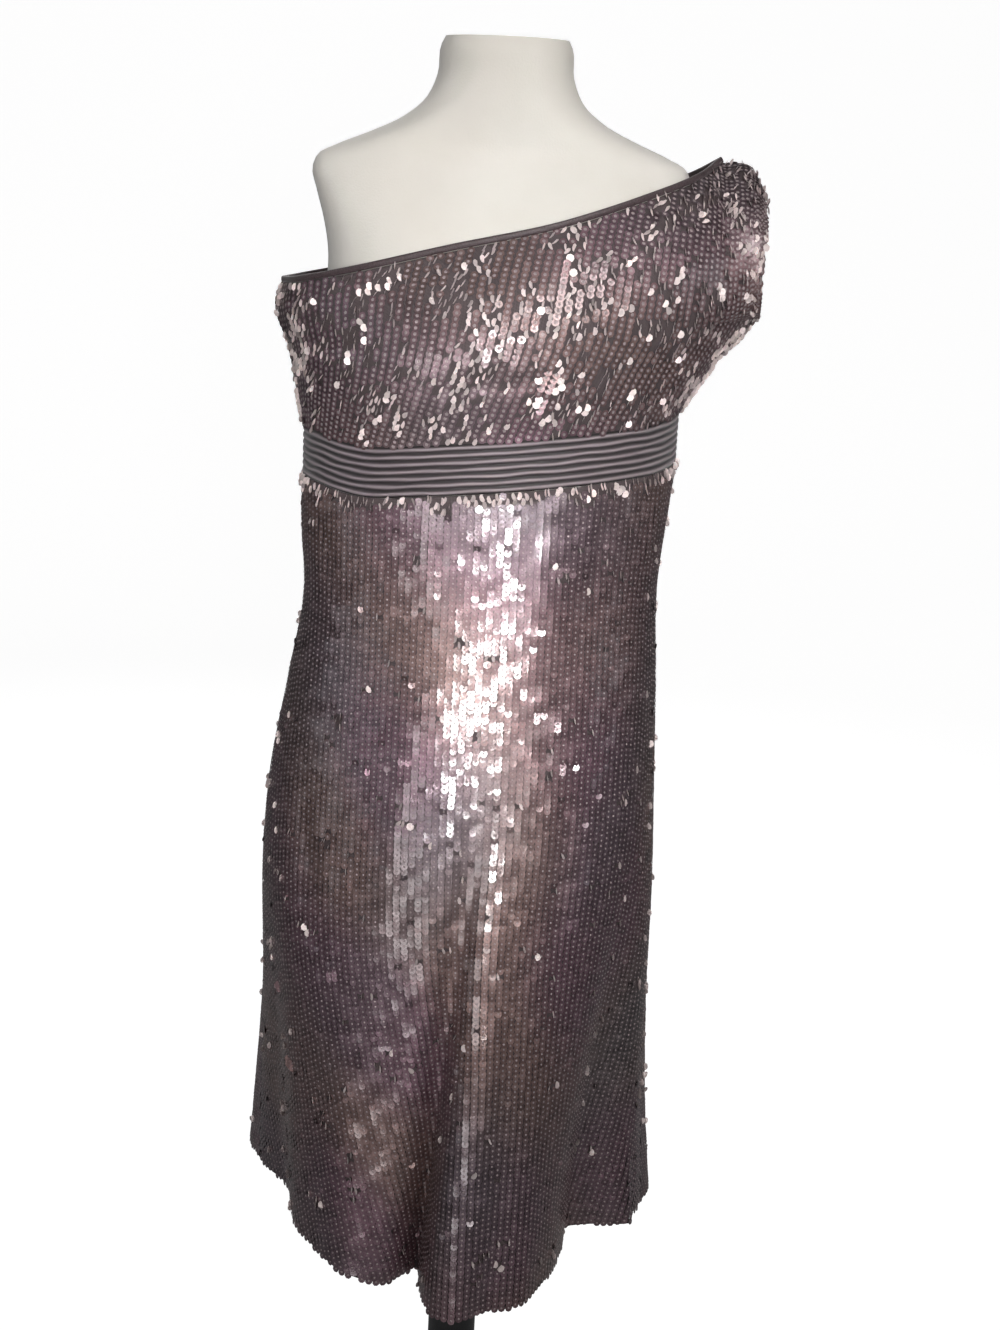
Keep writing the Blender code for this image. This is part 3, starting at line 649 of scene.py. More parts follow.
def paint(tree, shader, factor, stops):
    """Gives the shader its colour from a factor, through a ramp of (position, colour) stops."""
    ramp = add_node(tree, "ShaderNodeValToRGB", {"Fac": factor})
    ramp.color_ramp.elements[0].position = stops[0][0]
    ramp.color_ramp.elements[0].color = (*stops[0][1], 1.0)
    ramp.color_ramp.elements[1].position = stops[-1][0]
    ramp.color_ramp.elements[1].color = (*stops[-1][1], 1.0)
    for position, colour in stops[1:-1]:
        element = ramp.color_ramp.elements.new(position)
        element.color = (*colour, 1.0)
    tree.links.new(ramp.outputs["Color"], shader.inputs["Base Color"])


def object_noise(tree, scale, detail=2.0):
    """A noise texture on Object coordinates, which are metres here."""
    place = add_node(tree, "ShaderNodeTexCoord")
    noise = add_node(tree, "ShaderNodeTexNoise", {"Vector": place.outputs["Object"],
                                                  "Scale": scale, "Detail": detail})
    return noise.outputs["Fac"]


def add_bump(tree, shader, height, distance, strength=1.0):
    """Gives the shader a bump from a height socket, with its real depth in metres."""
    bump = add_node(tree, "ShaderNodeBump", {"Height": height, "Distance": distance,
                                             "Strength": strength})
    tree.links.new(bump.outputs["Normal"], shader.inputs["Normal"])


# %% Sequins and thread
def sequin_material(name, metallic, roughness, coat):
    """Coated plastic: the disc's own tint, broken by a faint film of lighter and darker spots."""
    material, tree, shader = new_material(name, Metallic=metallic, Roughness=roughness,
                                          Coat_Weight=coat, Coat_Roughness=0.20, Coat_IOR=1.65)
    tint = add_node(tree, "ShaderNodeAttribute", attribute_name="tint")
    film = object_noise(tree, 420.0)
    level = add_node(tree, "ShaderNodeMapRange", {"Value": film, "From Min": 0.3, "From Max": 0.7,
                                                  "To Min": 0.86, "To Max": 1.14})
    mix = add_node(tree, "ShaderNodeVectorMath", {0: tint.outputs["Color"],
                                                  1: level.outputs["Result"]},
                   operation="MULTIPLY")
    tree.links.new(mix.outputs["Vector"], shader.inputs["Base Color"])
    return material


sequin_face = sequin_material("sequin_face", metallic=0.85, roughness=0.48, coat=1.0)
sequin_back = sequin_material("sequin_back", metallic=0.05, roughness=0.60, coat=0.3)

thread, tree, shader = new_material("sequin_thread", Roughness=0.55)
paint(tree, shader, object_noise(tree, 260.0),
      [(0.3, (0.220, 0.172, 0.178)), (0.7, (0.340, 0.270, 0.275))])
print("sequin finishes:", sequin_face.name, sequin_back.name, thread.name)

# %% Net and lining
NET_CELL = 0.0011
# A wave texture of scale 1 repeats after this many units.
WAVE_REPEAT = 0.314


def woven_height(tree, cell):
    """Height of a plain weave on the cloth map: two sine bands that cross."""
    cloth = add_node(tree, "ShaderNodeUVMap", uv_map="cloth")
    bands = []
    for direction in ("X", "Y"):
        wave = add_node(tree, "ShaderNodeTexWave", {"Vector": cloth.outputs["UV"],
                                                    "Scale": WAVE_REPEAT / cell},
                        bands_direction=direction)
        bands.append(wave.outputs["Fac"])
    both = add_node(tree, "ShaderNodeMath", {0: bands[0], 1: bands[1]}, operation="MAXIMUM")
    return both.outputs["Value"]


net, tree, shader = new_material("sequin_net", Roughness=0.75)
height = woven_height(tree, NET_CELL)
paint(tree, shader, height, [(0.35, (0.030, 0.022, 0.023)), (0.9, (0.100, 0.075, 0.078))])
add_bump(tree, shader, height, 0.0002)

lining, tree, shader = new_material("dress_lining", Roughness=0.55, Sheen_Weight=0.15)
height = woven_height(tree, NET_CELL / 2)
paint(tree, shader, height, [(0.2, (0.006, 0.005, 0.006)), (0.9, (0.016, 0.013, 0.015))])
add_bump(tree, shader, height, 0.0001)
print("net cell:", NET_CELL)

# %% [markdown]
# ## Shells of net
#
# The net itself barely shows, but it carries the sequins, closes the gaps between them and gives
# the dress its dark inside. The outer face is the grid; Solidify adds the thickness behind it.

# %% Net pieces
cloth_pieces = {}
for part, grids in (("skirt", skirt_grids), ("bodice", bodice_grids)):
    for side, grid in grids.items():
        piece = cloth_piece(f"{part}_{side}_net", grid, net, lining, CLOTH)
        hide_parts(f"{part}_{side}")
        cloth_pieces[part, side] = piece, grid
print("net pieces:", [piece.name for piece, _ in cloth_pieces.values()])

# %% [markdown]
# ## The sequins
#
# On the real net the sequins are sewn in straight columns by machine. Each disc lies on the one
# below it like a roof tile, tipped a few degrees, and a stitch through its middle shows as a
# small light dot. A sewing line is a column of a grid; the discs are spaced along it by length.
# The skirt's lines keep their distance all the way down, so they run off the panel at its side
# seams where it narrows. On the bodice they fan out with the panel, towards the shoulder.

# %% Sizes of the sequins
SEQUIN_RADIUS = 0.0031
SEQUIN_SIDES = 8
SEQUIN_CUP = 0.00010
SEQUIN_THICKNESS = 0.00025
SEQUIN_LIFT = 0.0009
# Metres between sewing lines, and from disc to disc down a line.
COLUMN_GAP = {"bodice": 0.0067, "skirt": 0.0058}
SEQUIN_GAP = {"bodice": 0.0044, "skirt": 0.0043}
TILE_TILT = math.radians(8)
STITCH_SIDES = 5
STITCH_RADIUS = {"bodice": 0.00150, "skirt": 0.00095}
STITCH_RISE = 0.00050
STITCH_FOOT = 0.6           # how deep in the cup it starts
EDGE_MARGIN = 0.0012
START_SPREAD = 0.6          # share of a gap by which lines start at different heights
LINE_STEPS = 200
SHELF_WIDTH = 10.0          # more than any line is long
FIRST_SEED = {"bodice": 100, "skirt": 200}


# %% Sewing lines
def skirt_lines(side):
    """Sewing lines of a skirt panel. A line stays at one distance from the middle of the panel,
    measured along the cloth, so its bearing changes as the skirt widens. Returns the points and
    how far inside the side seam each one is."""
    fractions = np.linspace(0.0, 1.0, LINE_STEPS)
    fine = side_bearings(side, HEM_POINTS)
    middle = np.argmin(np.abs(np.sin(fine)))
    rows = skirt_points(*np.broadcast_arrays(fine[None, :], fractions[:, None]))
    travelled = travelled_along(rows, 1)
    travelled -= travelled[:, middle:middle + 1]
    reach = max(-travelled[:, 0].min(), travelled[:, -1].max())
    count = int(reach / COLUMN_GAP["skirt"])
    wanted = np.arange(-count, count + 1) * COLUMN_GAP["skirt"]
    bearings = np.stack([np.interp(wanted, row, fine) for row in travelled])
    inside = np.minimum(wanted - travelled[:, :1], travelled[:, -1:] - wanted)
    lines = skirt_points(bearings, np.broadcast_to(fractions[:, None], bearings.shape))
    return seen_from_outside(lines, side), seen_from_outside(inside, side)


def bodice_lines(side):
    """Sewing lines of a bodice panel: as many of its own columns as the sequins' spacing gives
    in its mean width. None of them leaves the panel, so each point counts as well inside."""
    width = travelled_along(bodice_grids[side], 1)[:, -1].mean()
    columns = int(width / COLUMN_GAP["bodice"]) + 1
    lines = bodice_grid(side, columns=columns, rows=LINE_STEPS)
    print(f"bodice {side}: {columns} lines over {width:.3f} m")
    return lines, np.full(lines.shape[:2], COLUMN_GAP["bodice"])


def discs_along(lines, inside, gap, dice):
    """Places of the discs: each line is divided by length, with a start of its own. Returns the
    centres, the ways down and across, and each disc's line and distance from the top."""
    steps, columns = lines.shape[:2]
    travelled = travelled_along(lines)
    start = EDGE_MARGIN + dice.uniform(0, START_SPREAD * gap, columns)
    count = ((travelled[-1] - start) / gap).astype(int) + 1
    column = np.repeat(np.arange(columns), count)
    order = np.arange(count.sum()) - np.repeat(np.cumsum(count) - count, count)
    distance = start[column] + order * gap
    # One sorted search serves all lines, because each has a shelf of numbers to itself.
    shelf = SHELF_WIDTH * np.arange(columns)
    ladder = (travelled + shelf).T.ravel()
    row = np.searchsorted(ladder, distance + shelf[column], side="right") - 1 - column * steps
    row = np.clip(row, 0, steps - 2)
    above = travelled[row, column]
    part = ((distance - above) / (travelled[row + 1, column] - above))[:, None]

    def between(grid):
        return grid[row, column] * (1 - part) + grid[row + 1, column] * part

    keep = between(inside[..., None])[:, 0] > EDGE_MARGIN
    found = [between(g) for g in (lines, np.gradient(lines, axis=0), np.gradient(lines, axis=1))]
    centre, down, across = (values[keep] for values in found)
    return centre, down, across, column[keep], distance[keep]


# %% Tints, tilts and turned discs
# Linear colours of the discs' front, which lies between brown, plum and slate, and of the back.
BROWN = np.array([0.230, 0.150, 0.140])
PLUM = np.array([0.195, 0.115, 0.145])
SLATE = np.array([0.120, 0.115, 0.128])
PALE_BACK = np.array([0.80, 0.69, 0.675])
# Soft patches of plum and of slate: their size in metres, mean share and swing of the share.
# Then the spread from disc to disc, on a scale of natural logarithms, and how worn backs are.
PLUM_PATCH = (0.16, 0.5, 0.5)
SLATE_PATCH = (0.22, 0.10, 0.25)
FRONT_SPREAD = 0.14
BACK_SPREAD = 0.25
BACK_WEAR = -0.1

# Tilts of the discs that lie flat: with the net, each on its own, and where a stitch is loose.
WAVE_TILT = math.radians(2.2)
OWN_TILT = math.radians(1.3)
LOOSE_SHARE = 0.015
LOOSE_TILT = math.radians(14)

# Discs that are brushed over, in clumps and lines: their shares, the size in metres and
# stretch of the noises that place them, and the pull of the band on the clumps beside it.
CLUMP_SHARE = {"bodice": 0.20, "skirt": 0.025}
CLUMP_SIZE = 0.0130
CLUMP_WIDENING = 1.8
CLUMP_CHANCE = 0.3
LINE_SHARE = {"bodice": 0.15, "skirt": 0.004}
LINE_SIZE = 0.0140
LINE_NARROWING = 9.7
LINE_LENGTHENING = 1.6
FINE_WAVES = 24
PATCH_SIZE = 0.060
PATCH_WEIGHT = 0.5
BAND_PULL = {"bodice": 1.2, "skirt": 4.5}
BAND_REACH = 0.011

# How they stand: degrees of tip and lean, the share of the lift that frees their low edge, the
# pull to the nearer side of the dress, their roll, and their swing to the side in metres.
TURNED_TIP = (-6.0, 20.0)
TURNED_LEAN = (42.0, 60.0)
TURNED_RISE = 0.30
SIDE_BIAS = 2.5
TURNED_ROLL = math.radians(9)
TURNED_SHIFT = 0.0017
LINE_SHIFT = 1.3
CHANCE = 0.25
FACING_RISE = math.radians(13)

# Discs that have swung round to face the room: across, height and the reach of the group.
FACING = {
    "front": (
        (0.041, 1.333, 0.006), (0.050, 1.297, 0.007), (0.031, 1.262, 0.006),
        (0.014, 1.232, 0.008), (0.042, 1.214, 0.010), (0.036, 1.196, 0.006),
        (-0.037, 1.045, 0.003), (-0.083, 0.905, 0.003), (-0.046, 0.868, 0.003),
        (-0.096, 1.030, 0.003), (-0.050, 0.976, 0.003), (-0.055, 0.917, 0.003),
        (0.046, 1.021, 0.003), (0.039, 1.009, 0.003), (0.034, 0.974, 0.003),
        (0.047, 0.957, 0.004), (0.060, 0.948, 0.003), (0.037, 0.939, 0.003),
        (0.067, 0.915, 0.003), (0.014, 0.906, 0.004), (0.050, 0.886, 0.003),
        (-0.106, 0.735, 0.004), (-0.032, 0.750, 0.003), (0.004, 0.732, 0.004),
        (-0.068, 0.693, 0.005), (-0.155, 0.698, 0.003), (-0.142, 0.640, 0.004),
        (0.036, 0.530, 0.004),
    ),
    "back": (
        (-0.060, 1.290, 0.006), (0.048, 1.240, 0.007), (-0.020, 1.215, 0.006),
        (0.040, 1.020, 0.003), (-0.070, 0.930, 0.004), (0.095, 0.850, 0.003),
        (-0.010, 0.780, 0.004), (0.060, 0.690, 0.003), (-0.110, 0.640, 0.004),
        (0.015, 0.560, 0.003),
    ),
}


def unit(vectors):
    """The same ways with length 1."""
    return vectors / np.linalg.norm(vectors, axis=1, keepdims=True)


def rolled(first, second, angle):
    """Two crossed ways turned about their common normal, from the first towards the second."""
    c = np.cos(angle)[:, None]
    s = np.sin(angle)[:, None]
    return first * c + second * s, second * c - first * s


def turned_discs(part, x, distance, dice):
    """Which discs are brushed over, and how far each of them swings to the side. Clumps are a
    little wider than tall, where one noise is highest, and the panel's edge at the band has more
    of them. Lines are runs of discs in one column, where a second noise, which differs from
    column to column, is highest. In a clump every second disc swings the other way."""
    patchy = PATCH_WEIGHT * soft_noise(x, distance, PATCH_SIZE, seed=32)
    clump = soft_noise(x / CLUMP_WIDENING, distance, CLUMP_SIZE, seed=31, waves=FINE_WAVES)
    clump = clump + patchy + dice.normal(0, CLUMP_CHANCE, len(x))
    from_band = distance if part == "skirt" else distance.max() - distance
    clump += BAND_PULL[part] * np.exp(-(from_band / BAND_REACH) ** 2)
    line = soft_noise(x * LINE_NARROWING, distance / LINE_LENGTHENING, LINE_SIZE, seed=34,
                      waves=FINE_WAVES) + patchy
    in_clump = clump > np.quantile(clump, 1 - CLUMP_SHARE[part])
    in_line = line > np.quantile(line, 1 - LINE_SHARE[part])
    to_and_fro = np.where(np.arange(len(x)) % 2, 1.0, -1.0) + CHANCE * dice.normal(size=len(x))
    swing = TURNED_SHIFT * np.where(in_clump, to_and_fro, LINE_SHIFT)
    return in_clump | in_line, swing


def disc_frames(side, centre, down, across, x, y, turned, swing, dice):
    """Each disc's own ways: the roof-tile tilt, a soft wave of the net, a small lean of its own,
    and now and then a large one where a stitch is loose. Discs that are brushed over lean far to
    one side, the same one in a whole clump. Their centre rises a little, and their low edge is
    pressed into the net. The few that face the room look straight out and a little up."""
    count = len(down)
    down = unit(down)
    out = unit(np.cross(down, across))
    across = unit(np.cross(out, down))
    centre = centre + across * (turned * swing)[:, None]
    loose = dice.random(count) < LOOSE_SHARE

    def flat_tilt(size, seed):
        tilt = WAVE_TILT * soft_noise(x, y, size, seed) + OWN_TILT * dice.normal(size=count)
        return tilt + loose * LOOSE_TILT * dice.normal(size=count)

    tip = TILE_TILT + flat_tilt(size=0.020, seed=11)
    tip += turned * np.radians(dice.uniform(*TURNED_TIP, count))
    lean = flat_tilt(size=0.024, seed=12)
    ahead = -1.0 if side == "front" else 1.0
    to_side = soft_noise(x, y, size=0.030, seed=33) + CHANCE * dice.normal(size=count)
    to_side = np.sign(to_side + SIDE_BIAS * ahead * out[:, 0])
    own_lean = turned * np.radians(dice.uniform(*TURNED_LEAN, count))
    lean += to_side * own_lean
    centre = centre + out * (TURNED_RISE * SEQUIN_RADIUS * np.sin(own_lean))[:, None]
    down, across = rolled(down, across, turned * TURNED_ROLL * dice.normal(size=count))
    down, out = rolled(down, out, tip)
    across, out = rolled(across, out, lean)

    away = [np.hypot(centre[:, 0] - a, centre[:, 2] - h) / reach for a, h, reach in FACING[side]]
    facing = (np.min(away, axis=0) < 1)[:, None]
    room = np.array([[0.0, ahead * math.cos(FACING_RISE), math.sin(FACING_RISE)]])
    out = np.where(facing, room, out)
    across = unit(np.cross(out, down))
    return centre, np.cross(across, out), across, out


def disc_tints(x, y, turned, dice):
    """Linear colours: a soft mix of brown, plum and slate, lighter or darker from disc to disc;
    turned discs show their pale back."""
    def patches(size, mean, swing, seed):
        return np.clip(mean + swing * soft_noise(x, y, size, seed), 0, 1)[:, None]

    plum = patches(*PLUM_PATCH, seed=1587)
    slate = patches(*SLATE_PATCH, seed=22)
    front = BROWN * (1 - plum) + PLUM * plum
    front = front * (1 - slate) + SLATE * slate
    front = front * np.exp(dice.normal(0, FRONT_SPREAD, len(x)))[:, None]
    back = PALE_BACK * np.exp(dice.normal(BACK_WEAR, BACK_SPREAD, len(x)))[:, None]
    return np.where(turned[:, None], back, front)


# %% From places to a mesh
def flat_ring(sides, shift=0.0):
    """Corners of a flat ring of radius 1. A shift of 0.5 turns it by half a side."""
    turn = (np.arange(sides) + shift) * 2 * np.pi / sides
    return np.stack([np.cos(turn), np.sin(turn), np.zeros(sides)], axis=1)


def disc_mesh(name, centre, down, across, out, tint, turned, stitch_radius):
    """All discs of a piece as one mesh. A disc is a closed shallow cup of two fans round one
    ring of corners, and its stitch is a small pointed solid over the middle."""
    count = len(centre)
    ring = flat_ring(SEQUIN_SIDES) * SEQUIN_RADIUS
    cup = [[0, 0, -SEQUIN_CUP], [0, 0, -SEQUIN_CUP - SEQUIN_THICKNESS]]
    knot = flat_ring(STITCH_SIDES, shift=0.5) * stitch_radius
    knot[:, 2] = -SEQUIN_CUP * STITCH_FOOT
    tip = [[0, 0, STITCH_RISE]]
    local = np.concatenate([ring, cup, knot, tip])

    axes = np.stack([across, -down, out], axis=1)
    points = np.einsum("pk,nkc->npc", local, axes) + (centre + out * SEQUIN_LIFT)[:, None]

    corner = np.arange(SEQUIN_SIDES)
    following = (corner + 1) % SEQUIN_SIDES
    top = np.full(SEQUIN_SIDES, SEQUIN_SIDES)
    front = np.stack([corner, following, top], axis=1)
    behind = np.stack([following, corner, top + 1], axis=1)
    first = SEQUIN_SIDES + 2
    foot = np.arange(STITCH_SIDES)
    sides = np.stack([foot, (foot + 1) % STITCH_SIDES, np.full(STITCH_SIDES, STITCH_SIDES)], axis=1)
    under = np.stack([foot[2:], foot[1:-1], np.zeros(STITCH_SIDES - 2, int)], axis=1)
    stitch = first + np.concatenate([sides, under])
    faces = np.concatenate([front, behind, stitch])
    all_faces = (faces[None] + (np.arange(count) * len(local))[:, None, None]).reshape(-1, 3)

    mesh = make_mesh(name, points.reshape(-1, 3), all_faces)
    # Numbers of the piece's materials: 0 for a face, 1 for a turned disc, 2 for a stitch.
    slots = np.zeros((count, len(faces)), np.int32)
    slots[:, -len(stitch):] = 2
    slots[turned, :] = 1
    mesh.polygons.foreach_set("material_index", slots.ravel())
    colours = np.ones((count, len(local), 4))
    colours[..., :3] = tint[:, None]
    set_colours(mesh, "tint", colours)
    return mesh


def sew(part, side, lines, inside):
    """Covers one panel. A skirt panel has too many discs for one mesh and is split half-way."""
    dice = np.random.default_rng(FIRST_SEED[part] + SIDES.index(side))
    centre, down, across, column, distance = discs_along(lines, inside, SEQUIN_GAP[part], dice)
    x = column * COLUMN_GAP[part]
    turned, swing = turned_discs(part, x, distance, dice)
    frames = disc_frames(side, centre, down, across, x, distance, turned, swing, dice)
    discs = (*frames, disc_tints(x, distance, turned, dice), turned)
    halves = {"": np.ones(len(centre), bool)}
    if part == "skirt":
        upper = distance < 0.5 * distance.max()
        halves = {"_upper": upper, "_lower": ~upper}
    for half, chosen in halves.items():
        mesh = disc_mesh(f"sequins_{part}_{side}{half}", *(values[chosen] for values in discs),
                         STITCH_RADIUS[part])
        add_piece(mesh, [sequin_face, sequin_back, thread])
        print(f"{mesh.name}: {chosen.sum()} sequins, {len(mesh.polygons)} triangles")


for side in SIDES:
    sew("bodice", side, *bodice_lines(side))
    sew("skirt", side, *skirt_lines(side))

# %% [markdown]
# ## The waistband
#
# The band is satin, tucked seven times across, so it looks like a stack of cords. Its section is
# a row of arches with narrow grooves between them. Carried round the waist it is again a function
# of two parameters, with a slow waver in each tuck, as hand-guided sewing leaves.

# %% Band surface and finish
RIB_RISE = 0.0013           # depth of a groove
BAND_WALL = 0.0030
RIB_STEPS = 12
RIB_FULLNESS = 0.68         # share of a tuck that its arch takes up
BAND_COLUMNS = 100
BAND_CLEARANCE = 0.0004     # what the shell leaves of the wall behind it
# The waver of a tuck in metres up, its size along the tuck, how much it differs from tuck to
# tuck, and the power with which it fades out at the band's edges.
WAVER_HEIGHT = 0.00022
WAVER_SIZE = 0.030
WAVER_CHANGE = 2.5
WAVER_FADE = 0.3


def band_grid(side):
    """Outer face of half of the band, top row first. Across a rib the cloth rises in half a
    circle, which takes up most of the rib's share, and lies flat in the groove beside it."""
    across_rib = np.linspace(0, RIB_COUNT, RIB_COUNT * RIB_STEPS + 1)[::-1]
    bearings = side_bearings(side, BAND_COLUMNS)
    way, rib = np.broadcast_arrays(bearings[None, :], across_rib[:, None])
    from_ridge = np.abs(2 * (rib % 1.0) - 1) / RIB_FULLNESS
    arch = np.sqrt(np.clip(1 - from_ridge**2, 0, 1))
    waver = WAVER_HEIGHT * soft_noise(way * BAND_SIDE, rib * RIB_PITCH * WAVER_CHANGE, WAVER_SIZE,
                                      seed=41)
    fade = np.sin(np.pi * rib / RIB_COUNT) ** WAVER_FADE
    points = band_row(way, RIB_RISE * (1 - arch), rib * RIB_PITCH - BAND_HEIGHT / 2)
    points[..., 2] += waver * fade
    return seen_from_outside(points, side), seen_from_outside(arch, side)


satin, tree, shader = new_material("band_satin", Roughness=0.50, Sheen_Weight=0.2,
                                   Anisotropic=0.35)
# The band's colour follows the height of each tuck's arch. The grooves are painted near black as
# painted shade, and the crests are painted light as a painted highlight, with the satin's grain on
# top.
rib_shade_and_highlight = add_node(tree, "ShaderNodeAttribute", attribute_name="rib_shade_and_highlight")
cloth = add_node(tree, "ShaderNodeUVMap", uv_map="cloth")
streak = add_node(tree, "ShaderNodeMapping", {"Vector": cloth.outputs["UV"],
                                              "Scale": (90.0, 1400.0, 1.0)})
grain = add_node(tree, "ShaderNodeTexNoise", {"Vector": streak.outputs["Vector"], "Scale": 1.0,
                                              "Detail": 3.0})
level = add_node(tree, "ShaderNodeMath", {0: grain.outputs["Fac"], 1: 0.16, 2: -0.08},
                 operation="MULTIPLY_ADD")
total = add_node(tree, "ShaderNodeMath", {0: rib_shade_and_highlight.outputs["Fac"], 1: level.outputs["Value"]},
                 operation="ADD")
paint(tree, shader, total.outputs["Value"],
      [(0.15, (0.014, 0.010, 0.011)), (0.70, (0.065, 0.049, 0.054)), (0.98, (0.230, 0.190, 0.202))])
add_bump(tree, shader, grain.outputs["Fac"], 0.00012, 0.6)

for side in SIDES:
    grid, arch = band_grid(side)
    piece = cloth_piece(f"waistband_{side}_tucks", grid, satin, lining,
                        BAND_WALL - RIB_RISE - BAND_CLEARANCE)
    # The arch's height goes in as the attribute that paints shade into the grooves and a highlight
    # onto the crests.
    set_colours(piece.data, "rib_shade_and_highlight", np.repeat(arch.reshape(-1, 1), 4, axis=1))
    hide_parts(f"waistband_{side}")
    cloth_pieces["waistband", side] = piece, grid
    print(f"{piece.name}: area {grid_area(grid):.4f} m2 with its tucks")

# %% [markdown]
# ## The neckline binding
#
# A narrow satin strip is folded over the raw edge of the neckline. Its section is a small closed
# loop, rounded at the free edge, which is carried along the neckline's own frame.

# %% Binding surface and finish
BINDING_SIDES = 14
BINDING_POINTS = 220
# Uneven thickness along the strip: its share, its size in metres, and how far its noise runs
# from one end of the strip to the other.
PUCKER = 0.10
PUCKER_SIZE = 0.012
PUCKER_RUN = 0.42
# Powers that push out the section's corners, along the strip's height and its thickness.
HEIGHT_SQUARENESS = 0.75
WALL_SQUARENESS = 0.85


def binding_tube(side):
    """A closed loop at each point of the neckline: an oval that hangs down from the free edge,
    with its corners pushed out."""
    line, to_edge, outward = neckline_frame(side, BINDING_POINTS)
    turn = np.arange(BINDING_SIDES) * 2 * np.pi / BINDING_SIDES
    along = np.linspace(0, PUCKER_RUN, BINDING_POINTS)
    pucker = 1 + PUCKER * soft_noise(along, 0.0, PUCKER_SIZE, seed=51)
    half_height = BINDING_HEIGHT / 2
    height = squared(np.sin(turn), HEIGHT_SQUARENESS) * half_height - half_height
    proud = squared(np.cos(turn), WALL_SQUARENESS) * BINDING_WALL / 2
    points = line[:, None] + to_edge[:, None] * height[None, :, None]
    return points + outward[:, None] * (proud[None, :] * pucker[:, None])[..., None]


binding, tree, shader = new_material("binding_satin", Roughness=0.50, Sheen_Weight=0.1)
grain = object_noise(tree, 900.0, detail=3.0)
paint(tree, shader, grain, [(0.3, (0.030, 0.018, 0.020)), (0.75, (0.075, 0.050, 0.054))])
add_bump(tree, shader, grain, 0.0001, 0.5)

for side in SIDES:
    mesh = closed_rings(f"neck_binding_{side}_strip", binding_tube(side))
    piece = add_piece(mesh, [binding])
    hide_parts(f"neck_binding_{side}")
    print(f"{piece.name}: {len(mesh.polygons)} faces")

# %% [markdown]
# ## The form and its stand
#
# The form is a padded torso under a pale jersey cover. It is a loft of level sections. The pole
# and the base are turned, so one profile carried round the axis makes each of them.

# %% Form surface
# Level sections: metres up from the waist, and the reach to the sides, front and back.
Level = namedtuple("Level", "rise side front back squareness")
FORM_SECTIONS = (
    Level(-0.362, 0.1200, 0.0880, 0.0900, 1.00),
    Level(-0.357, 0.1370, 0.1040, 0.1060, 1.00),
    Level(-0.342, 0.1445, 0.1120, 0.1170, 1.00),
    Level(-0.300, 0.1445, 0.1170, 0.1260, 1.00),
    Level(-0.240, 0.1420, 0.1150, 0.1280, 1.00),
    Level(-0.170, 0.1375, 0.1090, 0.1200, 1.00),
    Level(-0.100, 0.1340, 0.1020, 0.1090, 1.00),
    Level(-0.050, 0.1375, 0.1015, 0.1035, 1.00),
    Level(-0.022, 0.1432, 0.1045, 0.1045, 1.00),
    Level(-0.004, 0.1452, 0.1052, 0.1052, 1.00),
    Level(0.028, 0.1450, 0.1050, 0.1050, 1.00),
    Level(0.058, 0.1430, 0.1100, 0.1040, 1.00),
    Level(0.095, 0.1390, 0.1130, 0.1040, 1.00),
    Level(0.125, 0.1330, 0.1010, 0.0990, 0.94),
    Level(0.150, 0.1320, 0.0860, 0.0920, 0.86),
    Level(0.175, 0.1360, 0.0720, 0.0820, 0.78),
    Level(0.197, 0.1420, 0.0580, 0.0690, 0.70),
    Level(0.212, 0.1455, 0.0480, 0.0580, 0.66),
    Level(0.222, 0.1420, 0.0430, 0.0510, 0.68),
    Level(0.230, 0.1280, 0.0410, 0.0480, 0.74),
    Level(0.241, 0.1020, 0.0420, 0.0480, 0.84),
    Level(0.254, 0.0760, 0.0440, 0.0490, 0.94),
    Level(0.268, 0.0600, 0.0460, 0.0490, 1.00),
    Level(0.286, 0.0520, 0.0450, 0.0480, 1.00),
    Level(0.307, 0.0500, 0.0440, 0.0470, 1.00),
    Level(0.313, 0.0470, 0.0410, 0.0440, 1.00),
)
FORM_ROWS = 130
FORM_COLUMNS = 96


def form_grid():
    """Level rings, top first. Every column of the table becomes a smooth curve over the length of
    the form's side outline, at even steps."""
    table = np.array(FORM_SECTIONS)
    travelled = travelled_along(table[:, :2])
    rows = smooth_values(travelled, table, np.linspace(0, travelled[-1], FORM_ROWS))[::-1]
    bearings = np.linspace(0, 2 * np.pi, FORM_COLUMNS, endpoint=False)[None, :]
    rise, side, front, back, squareness = (rows[:, k:k + 1] for k in range(5))
    x, y = level_ring(bearings, side, side, front, back, squareness)
    z = np.broadcast_to(WAIST_HEIGHT + rise, x.shape)
    return np.stack([x, y, z], axis=-1)


jersey, tree, shader = new_material("form_jersey", Roughness=0.85, Sheen_Weight=0.3,
                                    Sheen_Roughness=0.4)
paint(tree, shader, object_noise(tree, 9.0, detail=4.0),
      [(0.35, (0.620, 0.590, 0.535)), (0.65, (0.680, 0.650, 0.600))])
add_bump(tree, shader, object_noise(tree, 700.0), 0.0004, 0.5)

form = add_piece(closed_rings("form_cover", form_grid()), [jersey])
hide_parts("form_torso")
print("form:", len(form.data.polygons), "faces")

# %% Pole and base
POLE_RADIUS = 0.021
BASE_RADIUS = 0.165
BASE_CROWN = 0.034
BASE_RIM = 0.008
BASE_HEIGHT = 0.030
BASE_CURVE = 1.7
FORM_BOTTOM = 0.362
TURNED_SIDES = 96
ROUNDING = 0.0012
ROUNDING_POINTS = 5
DOME_POINTS = 24
DOME_END = 0.98             # share of the dome's width where its rim starts
AXIS_RADIUS = 0.001         # rings close on a tiny one round the axis


def turned_grid(profile):
    """A profile of (radius, height) pairs, top first, carried round the pole's axis."""
    profile = np.array(profile)
    turn = np.linspace(0, 2 * np.pi, TURNED_SIDES, endpoint=False)[None, :]
    radius = profile[:, :1]
    x = radius * np.sin(turn)
    y = -radius * np.cos(turn)
    return np.stack([x, y, np.broadcast_to(profile[:, 1:], x.shape)], axis=-1)


